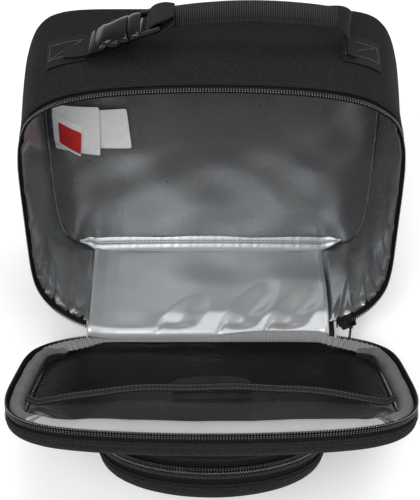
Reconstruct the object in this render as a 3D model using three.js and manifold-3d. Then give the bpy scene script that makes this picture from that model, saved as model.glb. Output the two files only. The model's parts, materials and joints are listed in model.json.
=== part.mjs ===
// Insulated cooler bag with its lid unzipped and folded down.
//
// Millimetres, +Z up. The pieces are laid out in the bag's own frame: x to the right,
// y to the back, z up, with the front rim in the plane y = 0 and the base in the plane
// z = 0. The lid turns about the line y = 0, z = 0. It rests on its round front pocket,
// which is deeper than the base is high, so the whole bag leans back a little.

import * as THREE from 'three';
import { mergeVertices } from 'three/addons/utils/BufferGeometryUtils.js';
import Module from 'manifold-3d';

// ---- Driving dimensions ------------------------------------------------------------

const BAG_WIDTH = 252;
const BAG_HEIGHT = 211;
const BAG_DEPTH = 96;
const RIM_CORNER = 58; // corner radius of the rims
const REAR_EDGE = 12; // rounding of the rear edge
const LID_DEPTH = 19;
const LID_EDGE_ACROSS = 24; // rounding of the lid's edge, measured across the lid
const LID_EDGE_DEEP = 15; // and measured through its depth
const LID_OPEN = 59.2; // degrees from closed

const FABRIC = 1.4;
const PEVA = 0.6;
const TAPE = 0.5;
const TAPE_INSET = 2; // the zip tape lies under the fabric
const FOAM_INSET = 2.8;
const FOAM = 2.4;
const LINER_INSET = 5.5;
const GAP = 0.3; // between pieces that touch

const COIL_RADIUS = 1.2;
const COIL_CENTRE = 1.9; // from the zip's plane to the middle of one coil
const ZIP_EDGE = 0.8; // from the zip's plane to the edge of one tape
const FABRIC_EDGE = 8; // from the zip's plane to the edge of the fabric
const ZIP_END = 92; // where the zip ends beside the hinge, from the middle
const HINGE_HALF = 86; // half the length of the fabric hinge

const POCKET_CENTRE = 105; // from the hinge line, up the lid
const POCKET_RADIUS = 72.5;
const POCKET_ZIP = 38; // depth of the pocket's zip in front of the rim
const POCKET_FACE = 56; // depth of the pocket's face in front of the rim
const POCKET_EDGE = 6;
const POCKET_HINGE_HALF = 30; // degrees of wall with no zip, each side of the hinge

const WEBBING = 1.6;
const WEBBING_WIDTH = 25;
const HANDLE_Y = 48;
const BUCKLE_RISE = 22; // degrees

const RADIANS = Math.PI / 180;
const CORNER_SEGMENTS = 4;
const FAR = 400; // longer than anything it cuts

// ---- Materials -----------------------------------------------------------------------

function finish(color, roughness, metalness = 0) {
  return () => new THREE.MeshStandardMaterial({ color, roughness, metalness });
}

const blackFabric = finish(0x1d1c1c, 0.95);
const blackTape = finish(0x141314, 0.85);
const blackCoil = finish(0x17171b, 0.35);
const blackWebbing = finish(0x201f1f, 0.85);
const blackPlastic = finish(0x101011, 0.25);
const blackMesh = finish(0x121214, 0.8);
const silverLiner = finish(0xb4b8ba, 0.35, 0.6);
const darkLiner = finish(0x5c5f62, 0.4, 0.2);
const greyLining = finish(0xb5b0ac, 0.85);
const whiteFoam = finish(0xe4e3df, 0.9);
const whiteLabel = finish(0xefefed, 0.7);
const darkMetal = finish(0x2a2a2c, 0.4, 0.8);

// ---- Solids --------------------------------------------------------------------------

const wasm = await Module();
wasm.setup();

function solid(geometry) {
  const bare = geometry.clone();
  bare.deleteAttribute('normal');
  bare.deleteAttribute('uv');
  const merged = mergeVertices(bare, 1e-4);
  const vertProperties = new Float32Array(merged.attributes.position.array);
  const triVerts = new Uint32Array(merged.index.array);
  return new wasm.Manifold(new wasm.Mesh({ numProp: 3, vertProperties, triVerts }));
}

function surface(body) {
  const { numProp, vertProperties, triVerts } = body.getMesh();
  const positions = new Float32Array((vertProperties.length / numProp) * 3);
  for (let i = 0; i < positions.length / 3; i += 1) {
    for (let k = 0; k < 3; k += 1) {
      positions[3 * i + k] = vertProperties[numProp * i + k];
    }
  }
  const geometry = new THREE.BufferGeometry();
  geometry.setAttribute('position', new THREE.BufferAttribute(positions, 3));
  geometry.setIndex(new THREE.BufferAttribute(new Uint32Array(triVerts), 1));
  geometry.computeVertexNormals();
  return geometry;
}

// A block between two opposite corners.
function block(x0, x1, y0, y1, z0, z1) {
  const geometry = new THREE.BoxGeometry(x1 - x0, y1 - y0, z1 - z0);
  geometry.translate((x0 + x1) / 2, (y0 + y1) / 2, (z0 + z1) / 2);
  return geometry;
}

// A shape drawn in x and z, as thick as y0 to y1.
function slab(shape, y0, y1) {
  const settings = { depth: y1 - y0, bevelEnabled: false, curveSegments: CORNER_SEGMENTS };
  const geometry = new THREE.ExtrudeGeometry(shape, settings);
  geometry.rotateX(Math.PI / 2);
  geometry.translate(0, y1, 0);
  return geometry;
}

// The rim's outline, drawn in x and z, moved inwards by inset.
function rimOutline(inset, path = new THREE.Shape()) {
  const x = BAG_WIDTH / 2 - RIM_CORNER;
  const low = RIM_CORNER;
  const high = BAG_HEIGHT - RIM_CORNER;
  const radius = RIM_CORNER - inset;
  path.absarc(x, low, radius, -Math.PI / 2, 0);
  path.absarc(x, high, radius, 0, Math.PI / 2);
  path.absarc(-x, high, radius, Math.PI / 2, Math.PI);
  path.absarc(-x, low, radius, Math.PI, 1.5 * Math.PI);
  path.closePath();
  return path;
}

function rimBand(inset, thickness, y0, y1) {
  const shape = rimOutline(inset);
  shape.holes.push(rimOutline(inset + thickness, new THREE.Path()));
  return slab(shape, y0, y1);
}

// A solid with the rim's outline whose edges are rounded at both ends, y0 and y1.
function roundedSolid(inset, y0, y1, across, deep) {
  const geometry = new THREE.ExtrudeGeometry(rimOutline(inset), {
    depth: y1 - y0 - 2 * deep,
    bevelEnabled: true,
    bevelThickness: deep,
    bevelSize: across,
    bevelOffset: -across,
    bevelSegments: 4,
    curveSegments: CORNER_SEGMENTS,
  });
  geometry.rotateX(Math.PI / 2);
  geometry.translate(0, y1 - deep, 0);
  return solid(geometry);
}

// The part of a ring about the y axis between two angles, counted from straight down
// towards +x, in degrees.
function ringBand(centre, outer, inner, from, to, y0, y1, segments) {
  const shape = new THREE.Shape();
  const start = (from - 90) * RADIANS;
  const end = (to - 90) * RADIANS;
  shape.absarc(centre.x, centre.y, outer, start, end);
  shape.absarc(centre.x, centre.y, inner, end, start, true);
  shape.closePath();
  const settings = { depth: y1 - y0, bevelEnabled: false, curveSegments: segments };
  const geometry = new THREE.ExtrudeGeometry(shape, settings);
  geometry.rotateX(Math.PI / 2);
  geometry.translate(0, y1, 0);
  return geometry;
}

// A round cord along a list of points.
function cord(points, radius, steps) {
  const section = new THREE.Shape();
  section.absarc(0, 0, radius, 0, 2 * Math.PI);
  return new THREE.ExtrudeGeometry(section, {
    steps,
    curveSegments: 3,
    extrudePath: new THREE.CatmullRomCurve3(points, false, 'centripetal'),
  });
}

const bag = new THREE.Group();
const lid = new THREE.Group();
const pocketCap = new THREE.Group();
const handle = new THREE.Group();
const handleLeft = new THREE.Group();

function addPiece(parent, name, geometry, material) {
  const mesh = new THREE.Mesh(geometry, material());
  mesh.name = name;
  parent.add(mesh);
  return mesh;
}

// Everything in front of the zip's end beside the hinge, which has no zip.
const hingeCut = solid(block(-ZIP_END, ZIP_END, -FAR, FAR, -FAR, RIM_CORNER / 2));

// ---- Main zip ------------------------------------------------------------------------

// The middle line of a coil: up the left side, over the top and down the right side.
function coilPath(y) {
  const x = BAG_WIDTH / 2 - RIM_CORNER;
  const low = RIM_CORNER;
  const high = BAG_HEIGHT - RIM_CORNER;
  const endAngle = Math.asin((ZIP_END - x) / RIM_CORNER) / RADIANS;
  const corners = [
    [-x, low, 270 - endAngle, 180],
    [-x, high, 180, 90],
    [x, high, 90, 0],
    [x, low, 0, -90 + endAngle],
  ];
  const points = [];
  for (const [cx, cz, from, to] of corners) {
    const count = 5;
    for (let i = 0; i <= count; i += 1) {
      const angle = (from + ((to - from) * i) / count) * RADIANS;
      const px = cx + RIM_CORNER * Math.cos(angle);
      const pz = cz + RIM_CORNER * Math.sin(angle);
      points.push(new THREE.Vector3(px, y, pz));
    }
  }
  return points;
}

function zipTape(y0, y1) {
  return surface(solid(rimBand(TAPE_INSET, TAPE, y0, y1)).subtract(hingeCut));
}

// A slider clasps one chain of a zip that follows an arc about the y axis. It is drawn at
// the bottom of the arc and turned to its angle, and its pull hangs straight down.
const SLIDER_LENGTH = 11;
const SLIDER_WIDTH = 6;
const BAIL_RADIUS = 1.6;
const BAIL_OUT = 5.2; // from the coil's middle to the pull's pivot
const PULL_LENGTH = 15;

function sliderBody(radius, y) {
  const half = SLIDER_LENGTH / 2;
  const front = y - 0.3;
  const back = front + SLIDER_WIDTH;
  const pivot = -radius - BAIL_OUT;
  const outerPlate = solid(block(-half, half, front, back, -radius - 3.3, -radius - 2.1));
  const innerPlate = solid(block(-half, half, front, back, -radius + 3.3, -radius + 4.1));
  const web = solid(block(-half, half - 5, front, y + 0.3, -radius - 3.3, -radius + 4.1));
  const neck = solid(block(-0.8, 0.8, front + 1.5, back - 1.5, pivot, -radius - 2.7));
  const pin = new THREE.CylinderGeometry(BAIL_RADIUS, BAIL_RADIUS, SLIDER_WIDTH - 3, 10);
  pin.translate(0, (front + back) / 2, pivot);
  return surface(outerPlate.add(innerPlate).add(web).add(neck).add(solid(pin)));
}

function pullTab() {
  const tab = solid(block(-0.6, 0.6, -2.5, 2.5, -PULL_LENGTH, -BAIL_RADIUS - 0.6));
  const slot = solid(block(-FAR, FAR, -1.2, 1.2, -PULL_LENGTH + 2.5, -PULL_LENGTH + 5.5));
  return surface(tab.subtract(slot));
}

function addSlider(parent, name, centre, radius, y, angle) {
  const slider = new THREE.Group();
  slider.name = `${name}_slider_group`;
  slider.position.set(centre.x, 0, centre.y);
  slider.rotation.y = -angle * RADIANS;
  addPiece(slider, `${name}_zip_slider`, sliderBody(radius, y), darkMetal);
  const pull = new THREE.Group();
  pull.name = `${name}_pull_group`;
  pull.position.set(0, y - 0.3 + SLIDER_WIDTH / 2, -radius - BAIL_OUT);
  pull.rotation.y = angle * RADIANS;
  addPiece(pull, `${name}_zip_pull`, pullTab(), darkMetal);
  slider.add(pull);
  parent.add(slider);
}

function buildMainZip() {
  const tapeBack = 18;
  addPiece(bag, 'body_zip_tape', zipTape(ZIP_EDGE, tapeBack), blackTape);
  addPiece(bag, 'body_zip_coil', cord(coilPath(COIL_CENTRE), COIL_RADIUS, 64), blackCoil);
  addPiece(lid, 'lid_zip_tape', zipTape(-FABRIC_EDGE + GAP, -ZIP_EDGE), blackTape);
  addPiece(lid, 'lid_zip_coil', cord(coilPath(-COIL_CENTRE), COIL_RADIUS, 64), blackCoil);
  const corner = new THREE.Vector2(BAG_WIDTH / 2 - RIM_CORNER, RIM_CORNER);
  addSlider(bag, 'main', corner, RIM_CORNER, 0, 32);
}

// ---- Body ----------------------------------------------------------------------------

const LINER_BACK = 88.4; // front of the back liner

function rearShell(inset) {
  const rear = BAG_DEPTH - inset;
  return roundedSolid(inset, rear - FAR, rear, REAR_EDGE, REAR_EDGE);
}

function buildOuterBody() {
  const seam = BAG_DEPTH - REAR_EDGE;
  addPiece(bag, 'outer_gusset', rimBand(0, FABRIC, FABRIC_EDGE, seam), blackFabric);
  const rearHalf = solid(block(-FAR, FAR, seam + GAP, FAR, -FAR, FAR));
  const backPanel = rearShell(0).subtract(rearShell(FABRIC)).intersect(rearHalf);
  addPiece(bag, 'back_panel', surface(backPanel), blackFabric);
  const underHinge = solid(block(-HINGE_HALF, HINGE_HALF, 1.5, FABRIC_EDGE - GAP, -1, 4));
  const hingeFabric = solid(rimBand(0, FABRIC, 0, FABRIC_EDGE)).intersect(underHinge);
  addPiece(bag, 'hinge_fabric', surface(hingeFabric), blackFabric);
}

function buildInsulation() {
  const foamFront = FABRIC_EDGE + 1.5;
  const foam = rimBand(FOAM_INSET, FOAM, foamFront, LINER_BACK - 1);
  addPiece(bag, 'gusset_foam', foam, whiteFoam);
  const backZone = solid(block(-FAR, FAR, LINER_BACK + PEVA + GAP, FAR, -FAR, FAR));
  const backFoam = rearShell(FABRIC + GAP + 0.2).intersect(backZone);
  addPiece(bag, 'back_foam', surface(backFoam), whiteFoam);
}

function buildLiner() {
  const front = 5;
  const seamHalf = 88; // the gusset seams on each side of the bottom liner
  const ring = solid(rimBand(LINER_INSET, PEVA, front, LINER_BACK - GAP));
  const below = RIM_CORNER / 2;
  const bottomZone = solid(block(-seamHalf, seamHalf, 0, FAR, -1, below));
  const wrapCut = solid(block(-seamHalf - GAP, seamHalf + GAP, 0, FAR, -1, below));
  addPiece(bag, 'liner_bottom', surface(ring.intersect(bottomZone)), silverLiner);
  addPiece(bag, 'liner_wrap', surface(ring.subtract(wrapCut)), silverLiner);
  const back = slab(rimOutline(LINER_INSET), LINER_BACK, LINER_BACK + PEVA);
  addPiece(bag, 'liner_back', back, silverLiner);
  const floor = LINER_INSET + PEVA + GAP;
  const ridge = new THREE.Shape();
  ridge.moveTo(-96, floor + 8.8);
  ridge.lineTo(-86, floor + 3.6);
  ridge.lineTo(-68, floor + 0.2);
  ridge.lineTo(68, floor + 0.2);
  ridge.lineTo(86, floor + 3.6);
  ridge.lineTo(96, floor + 8.8);
  ridge.lineTo(88, floor + 9.5);
  ridge.quadraticCurveTo(0, floor + 7, -88, floor + 9.5);
  ridge.closePath();
  addPiece(bag, 'liner_seam_ridge', slab(ridge, LINER_BACK - 3.3, LINER_BACK - GAP), silverLiner);
}

// Care labels sewn into the left rear seam of the liner, one behind the other.
function buildLabels() {
  const seamX = -116;
  const labels = [
    { reach: 57, low: 103, high: 143 },
    { reach: 38, low: 101, high: 145 },
    { reach: 23, low: 106, high: 139 },
  ];
  labels.forEach(({ reach, low, high }, index) => {
    const back = LINER_BACK - 0.6 - index * 0.8;
    const label = block(seamX, seamX + reach, back - 0.4, back, low, high);
    addPiece(bag, `care_label_${index + 1}`, label, whiteLabel);
  });
}

// ---- Lid, drawn closed over the front rim --------------------------------------------

const LID_BORDER_FRONT = 1.5;
const LID_BORDER_BACK = 9.2;
const LID_LINER_FRONT = 9.5;
const LID_LINER_BACK = 10.1;
const LID_SEAM = 12; // depth of the seam between the lid's side wall and its front
const LID_BORDER_INNER = new THREE.Box2(
  new THREE.Vector2(-112, 13),
  new THREE.Vector2(112, 192),
);

function lidShell(inset) {
  const front = -LID_DEPTH + inset;
  return roundedSolid(inset, front, front + FAR, LID_EDGE_ACROSS, LID_EDGE_DEEP);
}

function depthZone(from, to) {
  return solid(block(-FAR, FAR, -to, -from, -FAR, FAR));
}

function roundedOpening(box, radius) {
  const { min, max } = box;
  const path = new THREE.Path();
  path.absarc(max.x - radius, min.y + radius, radius, -Math.PI / 2, 0);
  path.absarc(max.x - radius, max.y - radius, radius, 0, Math.PI / 2);
  path.absarc(min.x + radius, max.y - radius, radius, Math.PI / 2, Math.PI);
  path.absarc(min.x + radius, min.y + radius, radius, Math.PI, 1.5 * Math.PI);
  path.closePath();
  return path;
}

function buildLidShell() {
  const shell = lidShell(0).subtract(lidShell(FABRIC));
  const hingeZone = solid(block(-HINGE_HALF, HINGE_HALF, -FAR, FAR, -FAR, 4));
  const wallZone = depthZone(FABRIC_EDGE, LID_SEAM);
  const hingeWall = shell.intersect(depthZone(1.5, LID_SEAM)).intersect(hingeZone);
  const sideWall = shell.intersect(wallZone).add(hingeWall);
  addPiece(lid, 'lid_side_wall', surface(sideWall), blackFabric);
  const frontPanel = shell.intersect(depthZone(LID_SEAM + GAP, FAR));
  addPiece(lid, 'lid_front_panel', surface(frontPanel), blackFabric);
  const foam = lidShell(FABRIC + GAP + 0.2).intersect(depthZone(LID_LINER_BACK + GAP, FAR));
  addPiece(lid, 'lid_foam', surface(foam), whiteFoam);
}

function buildLidLining() {
  const inside = lidShell(FABRIC + GAP + 0.2);
  const liner = solid(slab(rimOutline(FOAM_INSET), -LID_LINER_BACK, -LID_LINER_FRONT));
  addPiece(lid, 'lid_liner', surface(liner.intersect(inside)), darkLiner);
  const border = rimOutline(FOAM_INSET);
  border.holes.push(roundedOpening(LID_BORDER_INNER, 46));
  const borderSlab = solid(slab(border, -LID_BORDER_BACK, -LID_BORDER_FRONT));
  addPiece(lid, 'lid_border_roll', surface(borderSlab.intersect(inside)), greyLining);
  const binding = block(-HINGE_HALF, HINGE_HALF, -1.2, -0.6, 3.2, 10);
  addPiece(lid, 'hinge_binding', binding, greyLining);
}

function buildMeshPocket() {
  const top = 128;
  const inner = roundedOpening(LID_BORDER_INNER.clone().expandByScalar(-0.4), 45.6);
  const meshZone = solid(block(-FAR, FAR, -3.6, -3, 0, top));
  const shape = new THREE.Shape(inner.getPoints(CORNER_SEGMENTS));
  const panel = solid(slab(shape, -4, -2)).intersect(meshZone);
  addPiece(lid, 'mesh_pocket', surface(panel), blackMesh);
  const bindingHalf = 111;
  const edge = block(-bindingHalf, bindingHalf, -4.2, -2.4, top + GAP, top + 5.3);
  addPiece(lid, 'mesh_binding', edge, blackWebbing);
  const stripHalf = 24;
  const hook = block(-stripHalf, stripHalf, -5.6, -4.5, top - 8, top + 5);
  addPiece(lid, 'closure_strip_on_mesh', hook, blackWebbing);
  const loop = block(-stripHalf, stripHalf, -9.2, -8, top - 4, top + 9);
  addPiece(lid, 'closure_strip_on_liner', loop, blackWebbing);
}

// ---- Round pocket on the front of the lid ----------------------------------------------

const pocketCentre = new THREE.Vector2(0, POCKET_CENTRE);
const POCKET_SEGMENTS = 18;

function pocketZipArc(y) {
  const points = [];
  const count = 24;
  for (let i = 0; i <= count; i += 1) {
    const turn = POCKET_HINGE_HALF + ((360 - 2 * POCKET_HINGE_HALF) * i) / count;
    const angle = (turn - 90) * RADIANS;
    const px = POCKET_RADIUS * Math.cos(angle);
    const pz = POCKET_CENTRE + POCKET_RADIUS * Math.sin(angle);
    points.push(new THREE.Vector3(px, y, pz));
  }
  return points;
}

function pocketTape(from, to) {
  const outer = POCKET_RADIUS - TAPE_INSET;
  const start = POCKET_HINGE_HALF;
  const end = 360 - POCKET_HINGE_HALF;
  return ringBand(pocketCentre, outer, outer - TAPE, start, end, -to, -from, POCKET_SEGMENTS);
}

// A closed profile of radius and depth, turned about the pocket's axis.
function pocketTurned(profile) {
  const points = profile.map(([radius, depth]) => new THREE.Vector2(radius, depth));
  points.push(points[0].clone());
  const geometry = new THREE.LatheGeometry(points, 2 * POCKET_SEGMENTS);
  geometry.rotateX(Math.PI);
  geometry.translate(0, 0, POCKET_CENTRE);
  return surface(solid(geometry));
}

function buildPocketWall() {
  const wallStart = LID_DEPTH + GAP;
  const wallEnd = POCKET_ZIP - 7;
  const outer = POCKET_RADIUS;
  const inner = POCKET_RADIUS - FABRIC;
  const wall = [[inner, wallStart], [outer, wallStart], [outer, wallEnd], [inner, wallEnd]];
  addPiece(lid, 'pocket_wall', pocketTurned(wall), blackFabric);
  const lowEdge = POCKET_ZIP - ZIP_EDGE;
  addPiece(lid, 'pocket_zip_tape_lower', pocketTape(wallStart + 4, lowEdge), blackTape);
  const lowCoil = cord(pocketZipArc(-POCKET_ZIP + COIL_CENTRE), COIL_RADIUS, 54);
  addPiece(lid, 'pocket_zip_coil_lower', lowCoil, blackCoil);
  const half = POCKET_HINGE_HALF - 2;
  const bridge = ringBand(
    pocketCentre, outer, inner, -half, half, -lowEdge, -wallEnd - GAP, POCKET_SEGMENTS / 3,
  );
  addPiece(lid, 'pocket_hinge_fabric', bridge, blackFabric);
  addSlider(lid, 'pocket', pocketCentre, POCKET_RADIUS, -POCKET_ZIP, 40);
}

function buildPocketCap() {
  const bandStart = POCKET_ZIP + 7;
  const bandEnd = POCKET_FACE - POCKET_EDGE;
  const outer = POCKET_RADIUS;
  const inner = POCKET_RADIUS - FABRIC;
  const band = [[inner, bandStart], [outer, bandStart], [outer, bandEnd], [inner, bandEnd]];
  addPiece(pocketCap, 'pocket_cap_band', pocketTurned(band), blackFabric);
  const highEdge = POCKET_ZIP + ZIP_EDGE;
  addPiece(pocketCap, 'pocket_zip_tape_upper', pocketTape(highEdge, bandEnd - 1), blackTape);
  const highCoil = cord(pocketZipArc(-POCKET_ZIP - COIL_CENTRE), COIL_RADIUS, 54);
  addPiece(pocketCap, 'pocket_zip_coil_upper', highCoil, blackCoil);
  const half = POCKET_HINGE_HALF - 2;
  const lip = ringBand(
    pocketCentre, outer, inner, -half, half, -bandStart + GAP, -highEdge, POCKET_SEGMENTS / 3,
  );
  addPiece(pocketCap, 'pocket_lip_fabric', lip, blackFabric);
  addPiece(pocketCap, 'pocket_face', pocketTurned(faceProfile()), blackFabric);
  const foamRadius = POCKET_RADIUS - POCKET_EDGE - 3;
  const foamFront = POCKET_FACE - FABRIC - GAP;
  const foam = [[0, foamFront - 3], [foamRadius, foamFront - 3], [foamRadius, foamFront], [0, foamFront]];
  addPiece(pocketCap, 'pocket_foam', pocketTurned(foam), whiteFoam);
}

// The pocket's face: a disc with a rounded edge.
function faceProfile() {
  const edgeCentre = POCKET_RADIUS - POCKET_EDGE;
  const edgeDepth = POCKET_FACE - POCKET_EDGE + GAP;
  const edge = POCKET_EDGE - GAP;
  const steps = 4;
  const profile = [[0, POCKET_FACE], [0, POCKET_FACE - FABRIC]];
  for (let i = 0; i <= steps; i += 1) {
    const angle = ((90 - (90 * i) / steps) * RADIANS);
    const reach = edge - FABRIC;
    profile.push([edgeCentre + reach * Math.cos(angle), edgeDepth + reach * Math.sin(angle)]);
  }
  for (let i = 0; i <= steps; i += 1) {
    const angle = ((90 * i) / steps) * RADIANS;
    profile.push([edgeCentre + (edge + GAP) * Math.cos(angle), edgeDepth + edge * Math.sin(angle)]);
  }
  return profile;
}

// ---- Carrying handle -------------------------------------------------------------------

// A sewn webbing patch on a top corner. side is 1 on the right and -1 on the left.
function handlePatch(side, from, to) {
  const centre = new THREE.Vector2(BAG_WIDTH / 2 - RIM_CORNER, BAG_HEIGHT - RIM_CORNER);
  const low = RIM_CORNER + GAP;
  const half = WEBBING_WIDTH / 2;
  const start = 180 - Math.asin((to - centre.x) / RIM_CORNER) / RADIANS;
  const end = 180 - Math.asin((from - centre.x) / RIM_CORNER) / RADIANS;
  const back = HANDLE_Y + half;
  const band = ringBand(centre, low + WEBBING, low, start, end, HANDLE_Y - half, back, 3);
  if (side < 0) {
    band.rotateZ(Math.PI);
    band.translate(0, 2 * HANDLE_Y, 0);
  }
  return band;
}

// A flat piece of webbing in the y-z plane: half widths listed from its low end up.
function webbingTongue(halves) {
  const shape = new THREE.Shape();
  halves.forEach(([half, up], index) => {
    if (index === 0) {
      shape.moveTo(half, up);
    } else {
      shape.lineTo(half, up);
    }
  });
  halves.slice().reverse().forEach(([half, up]) => shape.lineTo(-half, up));
  shape.closePath();
  const geometry = new THREE.ExtrudeGeometry(shape, { depth: WEBBING, bevelEnabled: false });
  geometry.rotateX(Math.PI / 2);
  geometry.rotateZ(Math.PI / 2);
  return geometry;
}

const FEMALE_LENGTH = 26;
const MALE_START = FEMALE_LENGTH + 0.6;
const MALE_END = FEMALE_LENGTH + 20;
const BUCKLE_HALF = 15.5;
const PRONG_PIVOT = new THREE.Vector2(FEMALE_LENGTH + 2, 10.5);

function roundedPlate(x0, x1, half, thick, radius) {
  const shape = new THREE.Shape();
  shape.absarc(x1 - radius, -half + radius, radius, -Math.PI / 2, 0);
  shape.absarc(x1 - radius, half - radius, radius, 0, Math.PI / 2);
  shape.absarc(x0 + radius, half - radius, radius, Math.PI / 2, Math.PI);
  shape.absarc(x0 + radius, -half + radius, radius, Math.PI, 1.5 * Math.PI);
  shape.closePath();
  const depth = thick - 2;
  const geometry = new THREE.ExtrudeGeometry(shape, {
    depth,
    bevelThickness: 1,
    bevelSize: 1,
    bevelOffset: -1,
    bevelSegments: 2,
    curveSegments: 2,
  });
  geometry.translate(0, 0, -depth / 2);
  return solid(geometry);
}

function buckleFemale() {
  const shell = roundedPlate(0, FEMALE_LENGTH, BUCKLE_HALF, 10, 3);
  const cavity = solid(block(7.5, FAR, -12.6, 12.6, -2.9, 2.9));
  const windows = solid(block(8.5, 19, -FAR, FAR, -2.9, 2.9));
  const strapSlot = solid(block(2.6, 5, -12.9, 12.9, -FAR, FAR));
  return surface(shell.subtract(cavity).subtract(windows).subtract(strapSlot));
}

function buckleMale() {
  const base = roundedPlate(MALE_START, MALE_END, BUCKLE_HALF - 0.5, 9, 3);
  const strapSlot = solid(block(MALE_END - 7, MALE_END - 3, -12.9, 12.9, -FAR, FAR));
  const guide = solid(block(12, MALE_START + 2, -2, 2, -2.3, 2.3));
  return surface(base.subtract(strapSlot).add(guide));
}

// One prong: a bar with a hook at its tip, pivoting where it meets the male half.
function buckleProng(side) {
  const shape = new THREE.Shape();
  shape.moveTo(FEMALE_LENGTH, 8.3);
  shape.lineTo(FEMALE_LENGTH, 12);
  shape.lineTo(18, 12);
  shape.lineTo(17.5, 14.8);
  shape.lineTo(13, 14.8);
  shape.lineTo(9.5, 11);
  shape.lineTo(9.5, 8.3);
  shape.closePath();
  const geometry = new THREE.ExtrudeGeometry(shape, { depth: 4.6, bevelEnabled: false });
  geometry.translate(0, 0, -2.3);
  if (side < 0) {
    geometry.rotateX(Math.PI);
  }
  return geometry;
}

function gripGeometry() {
  const low = 234;
  const high = 247;
  const shape = new THREE.Shape();
  shape.moveTo(-24, low);
  shape.quadraticCurveTo(27, low + 4, 78, low - 1);
  shape.lineTo(78, high - 1);
  shape.quadraticCurveTo(27, high + 4, -24, high);
  shape.closePath();
  return slab(shape, HANDLE_Y - 4.5, HANDLE_Y + 4.5);
}

function buildHandle() {
  addPiece(bag, 'handle_patch_left', handlePatch(-1, 80, 105), blackWebbing);
  addPiece(bag, 'handle_patch_right', handlePatch(1, 84, 108), blackWebbing);

  const leftStrap = webbingTongue([[4, 0], [7, 2], [12.5, 11]]);
  leftStrap.rotateY(12 * RADIANS);
  leftStrap.translate(-80.5, HANDLE_Y, 215);
  addPiece(handleLeft, 'handle_strap_left', leftStrap, blackWebbing);

  const buckle = new THREE.Group();
  buckle.position.set(-76, HANDLE_Y, 227);
  buckle.rotation.y = -BUCKLE_RISE * RADIANS;
  const buckleLeft = buckle.clone();
  addPiece(buckleLeft, 'buckle_female', buckleFemale(), blackPlastic);
  handleLeft.add(buckleLeft);
  addPiece(buckle, 'buckle_male', buckleMale(), blackPlastic);
  for (const [side, name] of [[-1, 'front'], [1, 'rear']]) {
    const prong = new THREE.Group();
    prong.name = `prong_${name}_group`;
    prong.position.set(PRONG_PIVOT.x, side * PRONG_PIVOT.y, 0);
    const piece = addPiece(prong, `buckle_prong_${name}`, buckleProng(side), blackPlastic);
    piece.position.set(-PRONG_PIVOT.x, -side * PRONG_PIVOT.y, 0);
    buckle.add(prong);
  }
  const loop = block(MALE_END + GAP, MALE_END + 7, -12.5, 12.5, -2.5, 2.5);
  addPiece(buckle, 'handle_strap_loop', loop, blackWebbing);
  handle.add(buckle);
  addPiece(handle, 'handle_grip', gripGeometry(), blackWebbing);
  const rightStrap = webbingTongue([[4, 0], [9, 7], [6, 20], [5, 31]]);
  rightStrap.translate(78.3, HANDLE_Y, 215);
  addPiece(handle, 'handle_strap_right', rightStrap, blackWebbing);
}

// ---- Assembly --------------------------------------------------------------------------

// The lean that sets the rounded rear edge and the pocket's low edge on one level.
function leanAngle() {
  const open = LID_OPEN * RADIANS;
  const up = POCKET_CENTRE - (POCKET_RADIUS - POCKET_EDGE);
  const out = POCKET_FACE - POCKET_EDGE;
  const pocketY = -up * Math.sin(open) - out * Math.cos(open);
  const pocketZ = up * Math.cos(open) - out * Math.sin(open);
  const run = BAG_DEPTH - REAR_EDGE - pocketY;
  const rise = REAR_EDGE - pocketZ;
  return Math.atan2(rise, run) + Math.asin((POCKET_EDGE - REAR_EDGE) / Math.hypot(run, rise));
}

buildOuterBody();
buildInsulation();
buildLiner();
buildLabels();
buildMainZip();
buildLidShell();
buildLidLining();
buildMeshPocket();
buildPocketWall();
buildPocketCap();
buildHandle();

bag.name = 'bag_frame';
lid.name = 'lid_frame';
pocketCap.name = 'pocket_cap_frame';
lid.rotation.x = LID_OPEN * RADIANS;
lid.add(pocketCap);
bag.add(lid, handle, handleLeft);
bag.rotation.x = -leanAngle();

// The origin is on the ground, in the middle of the space that the bag fills.
const group = new THREE.Group();
group.add(bag);
const space = new THREE.Box3().setFromObject(group, true);
bag.position.set(0, -(space.min.y + space.max.y) / 2, -space.min.z);

export default group;
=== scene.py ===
"""Insulated cooler bag with its lid folded down: the visual model.

Lengths are in millimetres in the bag's or the lid's own frame, and become metres when a
mesh is made. The bag's frame has x to the right, y to the back and z up, with the rim at
y = 0. The lid's frame has s up the lid from the hinge and q outwards from its rim.
"""

import json
import math
import random

import bmesh
import bpy
import numpy as np
from mathutils import Matrix, Vector


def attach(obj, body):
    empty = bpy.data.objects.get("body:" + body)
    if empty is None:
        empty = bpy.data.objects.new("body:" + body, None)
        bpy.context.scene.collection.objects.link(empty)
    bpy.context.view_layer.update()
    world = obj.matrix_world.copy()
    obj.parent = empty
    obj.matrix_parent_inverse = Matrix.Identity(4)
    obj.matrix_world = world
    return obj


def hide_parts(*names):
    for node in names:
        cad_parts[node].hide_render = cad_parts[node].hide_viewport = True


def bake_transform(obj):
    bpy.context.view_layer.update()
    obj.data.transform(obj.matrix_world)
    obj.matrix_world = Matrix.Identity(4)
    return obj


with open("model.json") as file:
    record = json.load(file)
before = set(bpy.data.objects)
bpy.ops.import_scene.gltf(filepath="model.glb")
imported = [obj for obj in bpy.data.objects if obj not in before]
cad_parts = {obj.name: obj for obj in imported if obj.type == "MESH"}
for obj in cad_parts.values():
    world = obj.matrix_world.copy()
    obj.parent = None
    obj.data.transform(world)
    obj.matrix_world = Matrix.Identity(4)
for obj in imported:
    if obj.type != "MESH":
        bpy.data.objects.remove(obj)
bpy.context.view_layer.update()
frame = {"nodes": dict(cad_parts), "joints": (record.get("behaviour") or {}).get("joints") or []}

MM = 0.001
FABRIC_THICK = 1.1
POCKET_FABRIC_THICK = 1.0
HINGE_FABRIC_THICK = 0.8
FILM_THICK = 0.5
LID_FILM_THICK = 0.4
TAPE_THICK = 0.4
WEBBING_THICK = 1.5
FOLDED_WEBBING_THICK = 1.4
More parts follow.
